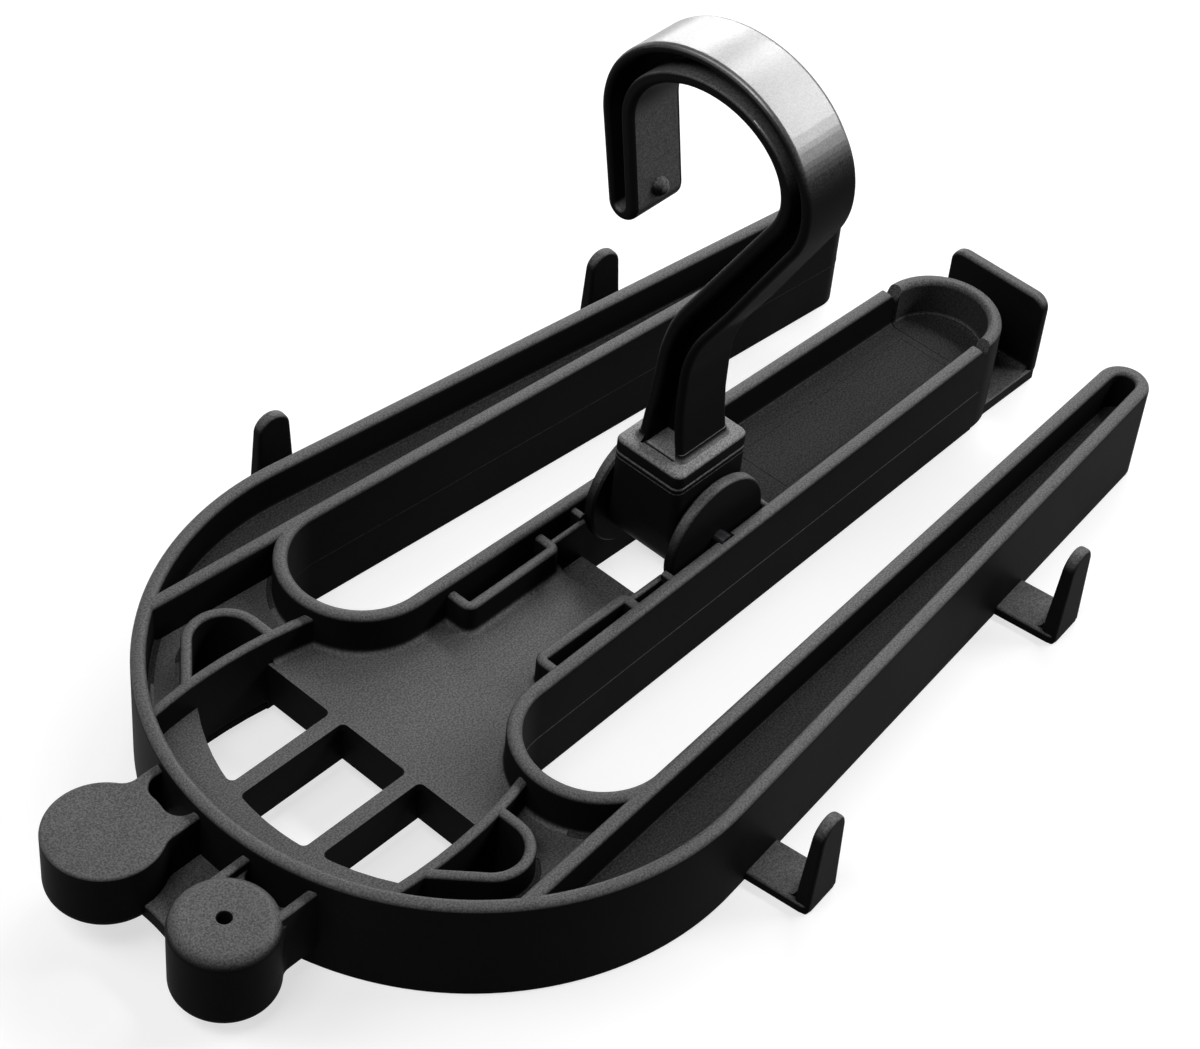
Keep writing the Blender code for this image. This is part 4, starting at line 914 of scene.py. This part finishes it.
def make_right_knob():
    """Knob with a rounded shoulder and a small hole in the middle."""
    centre = RIGHT_KNOB_CENTRE
    shoulder = arc((RIGHT_KNOB_FLAT_RADIUS, KNOB_TOP - RIGHT_KNOB_SHOULDER), RIGHT_KNOB_SHOULDER,
                   0, pi / 2, POST_STEP)
    stretch = (RIGHT_KNOB_RADIUS - RIGHT_KNOB_FLAT_RADIUS) / RIGHT_KNOB_SHOULDER
    profile = knob_underside(RIGHT_KNOB_RADIUS, RIGHT_KNOB_BOTTOM)
    profile += [(RIGHT_KNOB_FLAT_RADIUS + (p.x - RIGHT_KNOB_FLAT_RADIUS) * stretch, p.y) for p in shoulder]
    hole = RIGHT_KNOB_HOLE_RADIUS
    profile += [(hole + out, KNOB_TOP - down) for out, down in (*HOLE_RIM, (0.0, RIGHT_KNOB_HOLE_DEPTH))]
    knob = turned("right_knob_moulding", profile, (*centre, 0))
    end_x = -NOSE_RADIUS + 2 * WALL - centre[0]
    low = RIGHT_KNOB_BOTTOM + KNOB_BOTTOM_ROUND
    outline = eared_outline(RIGHT_KNOB_RADIUS - SINK / 10, RIGHT_EARS_Y, centre, end_x, RIGHT_EAR_BLEND)
    add(knob, rounded_prism("ears", outline, low, KNOB_TOP - RIGHT_KNOB_SHOULDER, SINK / 4, FOOT_EDGE))
    for y in RIGHT_EARS_Y:
        path = [(centre[0] + end_x, y), (centre[0] + KNOB_BOTTOM_ROUND, y)]
        add(knob, wall("ear", path, EAR_WIDTH - SINK / 10, low + OVERRUN, RIGHT_EAR_TOP, EAR_ROUND))
    cut(knob, rim_clearance())
    cut(knob, rod("hole", hole, KNOB_TOP - RIGHT_KNOB_HOLE_DEPTH, KNOB_TOP - OVERRUN, (*centre, 0)))
    return knob


def make_swivel_block():
    """Block with a disc on each side, round underneath, and the spigot's socket."""
    half = BLOCK_LENGTH / 2
    shoulder_z = PIVOT_Z + BLOCK_SHOULDER
    outline = [(PIVOT_X - half, BLOCK_TOP), (PIVOT_X - half, shoulder_z)]
    outline += arc((PIVOT_X, PIVOT_Z), BLOCK_ROUND, radians(190), radians(350))
    outline += [(PIVOT_X + half, shoulder_z), (PIVOT_X + half, BLOCK_TOP)]
    block = side_prism("swivel_block_moulding", outline, -BLOCK_WIDTH / 2, BLOCK_WIDTH / 2, "XZ")
    plan = block_plan()
    trim = rounded_prism("trim", plan, -BLOCK_TOP, BLOCK_TOP, BLOCK_EDGE, BLOCK_EDGE)
    combine(block, trim, "INTERSECT")
    seam_top = BLOCK_TOP - BLOCK_SEAM_DROP
    ring = prism("ring", inset(plan, -OVERRUN), seam_top - BLOCK_SEAM, seam_top)
    cut(ring, prism("core", inset(plan, BLOCK_SEAM), seam_top - OVERRUN, seam_top + OVERRUN))
    cut(block, ring)
    face = disc_face_y()
    back = face - DISC_THICKNESS
    rim = arc((DISC_RADIUS - DISC_EDGE, face - DISC_EDGE), DISC_EDGE, 0, pi / 2, COARSE_STEP)
    for side in (1, -1):
        profile = [(DISC_NECK_RADIUS, BLOCK_WIDTH / 2 - OVERRUN), (DISC_NECK_RADIUS, back),
                   (DISC_RADIUS - BLOCK_EDGE, back), (DISC_RADIUS, back + BLOCK_EDGE), *rim]
        disc = turned("disc", profile, (0, 0, 0), "Y")
        if side < 0:
            disc.data.transform(Matrix.Rotation(pi, 4, "Z"))
        disc.data.transform(Matrix.Translation((PIVOT_X, 0, PIVOT_Z)))
        add(block, disc)
    axis, reach = (PIVOT_X, 0, 0), 2 * BLOCK_WIDTH
    cut(block, rod("socket", SPIGOT_RADIUS + RUNNING_GAP, SOCKET_SHELF - OVERRUN, BLOCK_TOP + OVERRUN, axis))
    cut(block, rod("well", WELL_RADIUS, 0, SOCKET_SHELF, axis))
    bore = PIVOT_PIN_RADIUS + PIN_GAP
    cut(block, rod("bore", bore, -reach, reach, (PIVOT_X, 0, PIVOT_Z), "Y", POST_STEP))
    return block


def hook_centre_line():
    """Centre line of the strap in the YZ plane, from its free end to the flange."""
    ring = Vector((HOOK_RING_Y, HOOK_RING_Z))
    wide = HOOK_RING_HALF_WIDTH
    tall = HOOK_RING_HALF_HEIGHT

    def on_ring(angle):
        return ring + Vector((wide * cos(angle), tall * sin(angle)))

    def heading(angle):
        return Vector((-wide * sin(angle), tall * cos(angle))).normalized()

    start = -HOOK_FREE_ANGLE
    end = HOOK_NECK_ANGLE
    back = heading(start) * HOOK_FREE_LENGTH
    line = [on_ring(start) - back * (1 - i / FREE_STEPS) for i in range(FREE_STEPS)]
    line += [on_ring(start + (end - start) * i / RING_STEPS) for i in range(RING_STEPS + 1)]
    down = heading(end)
    corner = line[-1]
    line += [corner + down * HOOK_NECK_LENGTH * i / NECK_STEPS for i in range(1, NECK_STEPS + 1)]
    lean = atan2(down.x, -down.y)
    centre = line[-1] - HOOK_BEND_RADIUS * Vector((cos(lean), sin(lean)))
    line += arc(centre, HOOK_BEND_RADIUS, lean, 0, radians(2.5))[1:]
    top = line[-1]
    drop = top.y - FLANGE_TOP + FLANGE_HEIGHT / 2
    return line + [Vector((top.x, top.y - drop * i / STEM_STEPS)) for i in range(1, STEM_STEPS + 1)]


def stem_growth(point):
    """How far the stem's outer and inner edges stand out beyond the strap's plain depth."""
    if point.x > HOOK_DEPTH_NECK / 2:
        return 0.0, 0.0
    for high, low in zip(STEM_GROWTH, STEM_GROWTH[1:]):
        if low[0] <= point.y <= high[0]:
            share = (high[0] - point.y) / (high[0] - low[0])
            return tuple(a + (b - a) * share for a, b in zip(high[1:], low[1:]))
    return (0.0, 0.0) if point.y > STEM_GROWTH[0][0] else STEM_GROWTH[-1][1:]


def hook_depths(line):
    """Depth of the strap at each point of its centre line."""
    crown_at = HOOK_FREE_LENGTH + HOOK_RING_HALF_WIDTH
    neck_at = crown_at + 2 * HOOK_RING_HALF_WIDTH
    depths = []
    length = 0.0
    for before, point in zip([line[0]] + line, line):
        length += (point - before).length
        if length < crown_at:
            depths.append(HOOK_DEPTH_TIP + (HOOK_DEPTH_CROWN - HOOK_DEPTH_TIP) * (length / crown_at))
        else:
            share = min(1.0, (length - crown_at) / (neck_at - crown_at))
            depths.append(HOOK_DEPTH_CROWN + (HOOK_DEPTH_NECK - HOOK_DEPTH_CROWN) * share)
    return depths


def strap_outline(line, depths, outer_inset, inner_inset):
    """Outline of the strap in the YZ plane with a round free end."""
    normals = miter_normals(line)
    grown = [stem_growth(p) for p in line]
    outer = [p - n * (d / 2 + g[0] - outer_inset) for p, n, d, g in zip(line, normals, depths, grown)]
    inner = [p + n * (d / 2 + g[1] - inner_inset) for p, n, d, g in zip(line, normals, depths, grown)]
    middle = (outer[0] + inner[0]) / 2
    radius = (outer[0] - inner[0]).length / 2
    begin = atan2(inner[0].y - middle.y, inner[0].x - middle.x)
    ahead = (line[0] - line[1]).normalized()
    round_end = arc(middle, radius, begin, begin + pi, ROUND_STEP)
    if (round_end[len(round_end) // 2] - middle).dot(ahead) < 0:
        round_end = arc(middle, radius, begin, begin - pi, ROUND_STEP)
    return list(reversed(inner)) + round_end[1:-1] + outer


def groove_cutter(outline, side):
    """Cutter with a rounded floor and a slightly widened mouth."""
    levels = [(HOOK_WEB / 2 + rise, rest) for rise, rest in quarter_turn(GROOVE_FILLET)]
    levels += [(HOOK_WIDTH / 2 - rest, -rise) for rise, rest in quarter_turn(GROOVE_MOUTH)]
    levels.append((HOOK_WIDTH / 2 + OVERRUN, -GROOVE_MOUTH))
    rings = [[(PIVOT_X + side * reach, p.x, p.y) for p in inset(outline, by)] for reach, by in levels]
    return loft("groove", rings)


def make_hook():
    """I-section strap hook with its flange and swivel spigot."""
    line = hook_centre_line()
    depths = hook_depths(line)
    half = HOOK_WIDTH / 2
    strap = strap_outline(line, depths, SINK / 8, 0)
    hook = rounded_prism("hook_moulding", strap, PIVOT_X - half, PIVOT_X + half, HOOK_EDGE, HOOK_EDGE, "YZ")
    add(hook, rounded_prism("flange", block_plan(), FLANGE_BOTTOM, FLANGE_TOP, LOW_EDGE, FLANGE_ROUND))
    out, back = STEM_GROWTH[-1][1:]
    foot = rounded_rectangle((PIVOT_X, line[-1].x + (back - out) / 2), HOOK_WIDTH,
                             HOOK_DEPTH_NECK + out + back, HOOK_EDGE)
    rings = [level_ring(inset(foot, -NECK_FILLET), FLANGE_TOP - OVERRUN)]
    for rise, rest in quarter_turn(NECK_FILLET, NECK_FILLET_STEPS):
        rings.append(level_ring(inset(foot, SINK / 20 - rest), FLANGE_TOP + rise - SINK / 20))
    add(hook, loft("neck", rings))
    floor = FLANGE_TOP + SINK / 10
    short = [p for p in line if p.y > floor + SEAT_GAP] + [Vector((line[-1].x, floor))]
    groove = strap_outline(short, depths, HOOK_OUTER_FLANGE, HOOK_INNER_FLANGE)
    low = line[-1].x - HOOK_DEPTH_NECK / 2 - out + HOOK_OUTER_FLANGE
    high = line[-1].x + HOOK_DEPTH_NECK / 2 + back - HOOK_INNER_FLANGE
    for side in (1, -1):
        cut(hook, groove_cutter(groove, side))
        near, far = sorted((PIVOT_X + side * (half - OVERRUN), PIVOT_X + side * (half + 2 * OVERRUN)))
        cut(hook, box("mouth", (near, low, floor + SINK / 40), (far, high, floor + NECK_FILLET + OVERRUN)))
    add(hook, rod("spigot", SPIGOT_RADIUS, SOCKET_SHELF, FLANGE_BOTTOM + OVERRUN, (PIVOT_X, 0, 0)))
    ahead = (line[1] - line[0]).normalized()
    spot = line[0] + ahead * BALL_FROM_TIP + Vector((-ahead.y, ahead.x)) * (HOOK_DEPTH_TIP / 2)
    angles = [pi * i / BALL_STEPS for i in range(1, BALL_STEPS)]
    ball = [(BALL_RADIUS * sin(a), -BALL_RADIUS * cos(a)) for a in angles]
    add(hook, turned("ball", ball, (PIVOT_X, spot.x, spot.y), "Z", ROUND_STEP))
    return hook


class Nodes:
    """Short calls for a material's shader nodes."""

    def __init__(self, name):
        self.material = bpy.data.materials.new(name)
        self.material.use_nodes = True
        self.tree = self.material.node_tree

    def feed(self, node, inputs):
        """Sets a node's inputs to values, or links them to other nodes' outputs."""
        for key, value in inputs.items():
            if isinstance(value, bpy.types.NodeSocket):
                self.tree.links.new(value, node.inputs[key])
            else:
                node.inputs[key].default_value = value

    def add(self, kind, inputs=(), **settings):
        """Makes a node and returns its outputs."""
        node = self.tree.nodes.new("ShaderNode" + kind)
        for key, value in settings.items():
            setattr(node, key, value)
        self.feed(node, dict(inputs))
        return node.outputs

    def noise(self, scale, detail, roughness=0.5):
        place = self.add("TexCoord")["Object"]
        inputs = {"Vector": place, "Scale": scale, "Detail": detail, "Roughness": roughness}
        return self.add("TexNoise", inputs)["Fac"]

    def mix(self, share, first, second):
        return self.add("Mix", {"Factor": share, "A": first, "B": second}, data_type="RGBA")["Result"]

    def spread(self, value, low, high, to_low, to_high, **settings):
        """Maps the values from low to high onto those from to_low to to_high."""
        ends = {"From Min": low, "From Max": high, "To Min": to_low, "To Max": to_high}
        return self.add("MapRange", {"Value": value, **ends}, **settings)["Result"]

    def shade(self, inputs):
        """Feeds the shader and returns the finished material."""
        self.feed(self.tree.nodes["Principled BSDF"], inputs)
        return self.material


def plastic(name, roughness, grain, ior, painted_light_from=PAINTED_LIGHT_FROM, painted_light_scale=1.0):
    """Black moulded plastic: deep black sides, upper faces greyed by painted light, more the more they look
    up.

    The upper faces carry a pale speckle, and the gloss is slightly uneven all over.
    """
    n = Nodes(name)
    facing = n.add("SeparateXYZ", {"Vector": n.add("TexCoord")["Normal"]})["Z"]
    # painted light: the more a face looks up, the more of the lighter top tone it takes
    painted_light_share = n.spread(facing, painted_light_from, painted_light_from + PAINTED_LIGHT_FADE, 0.0, 1.0, interpolation_type="SMOOTHSTEP")
    cloud = n.noise(CLOUD_SCALE, 3.0, 0.55)
    fine = n.noise(GRAIN_SCALE, 2.0, 0.6)
    speck = n.spread(fine, 0.35, 0.65, PALE_SPECK[0] * painted_light_scale, PALE_SPECK[1] * painted_light_scale)
    painted_top = n.add("VectorMath", {0: n.mix(cloud, PAINTED_LIGHT_DIM, PAINTED_LIGHT_BRIGHT), "Scale": speck}, operation="SCALE")
    return n.shade({
        "Base Color": n.mix(painted_light_share, BLACK, painted_top["Vector"]),
        "Roughness": n.spread(cloud, 0.3, 0.7, roughness - GLOSS_SPREAD, roughness + GLOSS_SPREAD),
        "Normal": n.add("Bump", {"Strength": 0.5, "Distance": grain, "Height": fine})["Normal"],
        "Specular IOR Level": 0.5,
        "IOR": ior,
    })


def steel(name, colour, roughness):
    """Steel with a fine, uneven gloss."""
    n = Nodes(name)
    streak = n.noise(900.0, 2.0)
    return n.shade({
        "Base Color": n.mix(streak, (*[c * 0.8 for c in colour], 1.0), (*colour, 1.0)),
        "Roughness": n.spread(streak, 0.0, 1.0, roughness - 0.08, roughness + 0.12),
        "Metallic": 1.0,
    })


def dress(obj, *materials):
    obj.data.materials.clear()
    for material in materials:
        obj.data.materials.append(material)


def finish_piece(obj, materials, node, body="frame"):
    """Moves a piece to the shared frame, smooths it and lets it stand for its node.

    Upper faces take the first material, with its painted light; sides and undersides take the second, a copy
    with painted shade.
    """
    obj.data.transform(Matrix.Translation((NOSE_X, 0, 0)))
    dress(obj, *materials)
    for face in obj.data.polygons:
        if face.normal.z < SIDE_NORMAL:
            face.material_index = 1
    obj.data.shade_smooth()
    obj.data.set_sharp_from_angle(angle=SHARP_EDGE)
    weights = obj.modifiers.new("even_normals", "WEIGHTED_NORMAL")
    weights.keep_sharp = True
    weights.weight = 60
    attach(obj, body)
    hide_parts(node)
    return obj


def paint_hook_sheen_and_light(hook):
    """Painted sheen on the crest: bands of gloss, strongest where faces look up most and dulling towards its
    sides; their rising roughness is wear from rails and hands.

    The strap's inner face gets a painted lighter grey, and the flange's top scuffs brightened by painted
    light.
    """
    crest = 2
    painted_lit_side = crest + SHEEN_BANDS
    scuffs_and_painted_light = painted_lit_side + 1
    ring = Vector((HOOK_RING_Y, HOOK_RING_Z))
    for face in hook.data.polygons:
        normal, centre = face.normal, face.center
        if centre.z < HOOK_RING_Z - 2 * HOOK_RING_HALF_HEIGHT:
            # scuffs with painted light on the flange's top
            if normal.z > SIDE_NORMAL and FLANGE_BOTTOM < centre.z < FLANGE_TOP + SINK:
                face.material_index = scuffs_and_painted_light
            continue
        place = Vector((centre.y, centre.z)) - ring
        outward = Vector((normal.y, normal.z)).dot(place.normalized())
        # painted sheen bands on the crest's outward faces
        if outward > RING_NORMAL and place.length > HOOK_RING_HALF_HEIGHT and normal.z > DULL_NORMAL:
            share = (SHINY_NORMAL - normal.z) / (SHINY_NORMAL - DULL_NORMAL)
            face.material_index = crest + max(0, min(SHEEN_BANDS - 1, int(share * SHEEN_BANDS)))
        # painted lighter grey on the strap's inner face, here and along the stem
        on_stem = normal.y < -STEM_NORMAL and centre.y > HOOK_RING_HALF_WIDTH / 2
        if (outward < -RING_NORMAL or on_stem) and abs(centre.x - PIVOT_X - NOSE_X) < HOOK_WEB / 2:
            face.material_index = painted_lit_side


def make_object():
    grained = plastic("grained_plastic", MATT, GRAIN, UPPER_IOR)
    # copy for sides and undersides: painted shade, its low index takes the reflection away
    sides = plastic("grained_sides_painted_shade", MATT, GRAIN, SHADED_SIDE_IOR)
    # copy for the channel floors with less of the painted light: painted shade in the recesses
    recess = plastic("recess_painted_shade", MATT, GRAIN, SHADED_SIDE_IOR, painted_light_scale=0.4)
    smooth = plastic("smooth_plastic", SATIN, FINE_GRAIN, UPPER_IOR)
    # copy for the block's sides: painted shade, as for the grained sides
    smooth_sides_painted_shade = plastic("smooth_sides_painted_shade", SATIN, FINE_GRAIN, SHADED_SIDE_IOR)
    # painted light on steep faces: they take part of the lighter top tone
    painted_lit_side = plastic("lit_side_painted_light", SATIN, FINE_GRAIN, 1.14, -0.28)
    # scuffs, brightened further by painted light where the hook shades the flange top
    scuffs_and_painted_light = plastic("scuffs_with_painted_light", 0.46, 0.00010, UPPER_IOR, painted_light_scale=2.2)
    # painted sheen: the index of refraction falls band by band to place the glare; the rising roughness is
    # crest wear
    painted_sheen = []
    for band in range(SHEEN_BANDS):
        share = band / (SHEEN_BANDS - 1)
        painted_sheen.append(plastic(f"polished_{band}", 0.35 + 0.13 * share, 0.00001, 2.2 - 1.1 * share))
    body = finish_piece(make_frame(), (grained, sides, recess), "frame")
    # the outer arms' channel floors take the recess copy: painted shade
    for face in body.data.polygons:
        x, y, z = face.center
        in_arm = abs(y) > CHANNEL_REACH or x > HUB_WELL_END_X + NOSE_X
        if z < CHANNEL_TOP and in_arm and face.normal.z > SIDE_NORMAL:
            face.material_index = 2
    tip = finish_piece(make_tip_hook(), (grained, sides, recess, painted_lit_side), "tip_hook")
    # the tip's floor takes painted shade; its faces towards the nose take painted light
    for face in tip.data.polygons:
        if WEB_TOP - SINK < face.center.z < CHANNEL_TOP and face.normal.z > SIDE_NORMAL:
            face.material_index = 2
        elif face.normal.x < -SINK and face.center.x < TIP_PLATE_X + NOSE_X - SINK:
            face.material_index = 3
    for name, x, side in PEGS:
        finish_piece(make_peg(name, x, side), (grained, sides), name)
    finish_piece(make_left_knob(), (grained, sides), "left_knob")
    finish_piece(make_right_knob(), (grained, sides), "right_knob")
    block = make_swivel_block()
    finish_piece(block, (smooth, smooth_sides_painted_shade), "swivel_block", "swivel_block")
    hook_materials = (smooth, smooth_sides_painted_shade, *painted_sheen, painted_lit_side, scuffs_and_painted_light)
    paint_hook_sheen_and_light(finish_piece(make_hook(), hook_materials, "hook", "hook"))
    plain_steel = steel("plain_steel", (0.50, 0.50, 0.51), 0.35)
    dress(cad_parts["pivot_pin"], steel("dark_steel", (0.10, 0.10, 0.11), 0.40))
    for node in ("swivel_washer", "swivel_screw"):
        dress(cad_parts[node], plain_steel)


def make_stage():
    """Floor that shows white to the camera and in gloss, and keeps the object's soft shadow.

    Its far edge rises gently, so that it fills the view behind the object.
    """
    mesh = bpy.data.meshes.new("floor")
    corners = []
    for half, height in ((FLOOR_HALF, FLOOR_LEVEL), (SWEEP_HALF, SWEEP_TOP)):
        corners += [(x * half, y * half, height) for x, y in ((-1, -1), (1, -1), (1, 1), (-1, 1))]
    rising = [(i, (i + 1) % 4, 4 + (i + 1) % 4, 4 + i) for i in range(4)]
    mesh.from_pydata(corners, [], [(0, 1, 2, 3)] + rising)
    n = Nodes("floor_white")
    ray = n.add("LightPath")
    seen = ray["Is Camera Ray"]
    for kind in ("Is Glossy Ray", "Is Transmission Ray"):
        seen = n.add("Math", {0: seen, 1: ray[kind]}, operation="MAXIMUM")[0]
    floor = new_object("floor", mesh)
    dress(floor, n.shade({
        "Base Color": n.mix(seen, FLOOR_BOUNCE, FLOOR_SEEN),
        "Roughness": 0.9,
        "Specular IOR Level": 0.1,
        "Emission Color": WHITE,
        "Emission Strength": n.add("Math", {0: seen, 1: FLOOR_GLOW}, operation="MULTIPLY")[0],
    }))


def place_object(name, data, axes, place):
    """Links an object whose place and own X, Y and Z directions are given."""
    obj = new_object(name, data)
    obj.matrix_world = Matrix.Translation(place) @ Matrix(axes).transposed().to_4x4()
    return obj


def area_light(name, direction, distance, size, power):
    lamp = bpy.data.lights.new(name, "AREA")
    lamp.shape = "RECTANGLE"
    lamp.size, lamp.size_y = size
    lamp.energy = power
    towards = Vector(direction).normalized()
    across = Vector((1, 0, 0)).cross(towards).normalized()
    place_object(name, lamp, (across, towards.cross(across), towards), towards * distance)


def make_lights():
    for name, direction, power in CREST_LAMPS:
        area_light(name, direction, CREST_LAMP_DISTANCE, CREST_LAMP_SIZE, power)
    for name, direction, size, power in SOFT_LAMPS:
        area_light(name, direction, SOFT_LAMP_DISTANCE, size, power)
    world = bpy.data.worlds.new("studio")
    world.use_nodes = True
    background = world.node_tree.nodes["Background"]
    background.inputs["Color"].default_value = WHITE
    background.inputs["Strength"].default_value = SKY_GLOW
    bpy.context.scene.world = world


def make_camera():
    data = bpy.data.cameras.new("camera")
    data.lens = CAMERA_LENS
    data.sensor_width = CAMERA_SENSOR
    data.sensor_fit = "HORIZONTAL"
    data.clip_start = 0.05
    axes = (CAMERA_RIGHT, CAMERA_UP, CAMERA_BACK)
    place = Vector(CAMERA_PLACE) + Vector((NOSE_X, 0, 0))
    bpy.context.scene.camera = place_object("camera", data, axes, place)


make_object()
make_stage()
make_lights()
make_camera()
bpy.context.scene.view_settings.view_transform = "Standard"
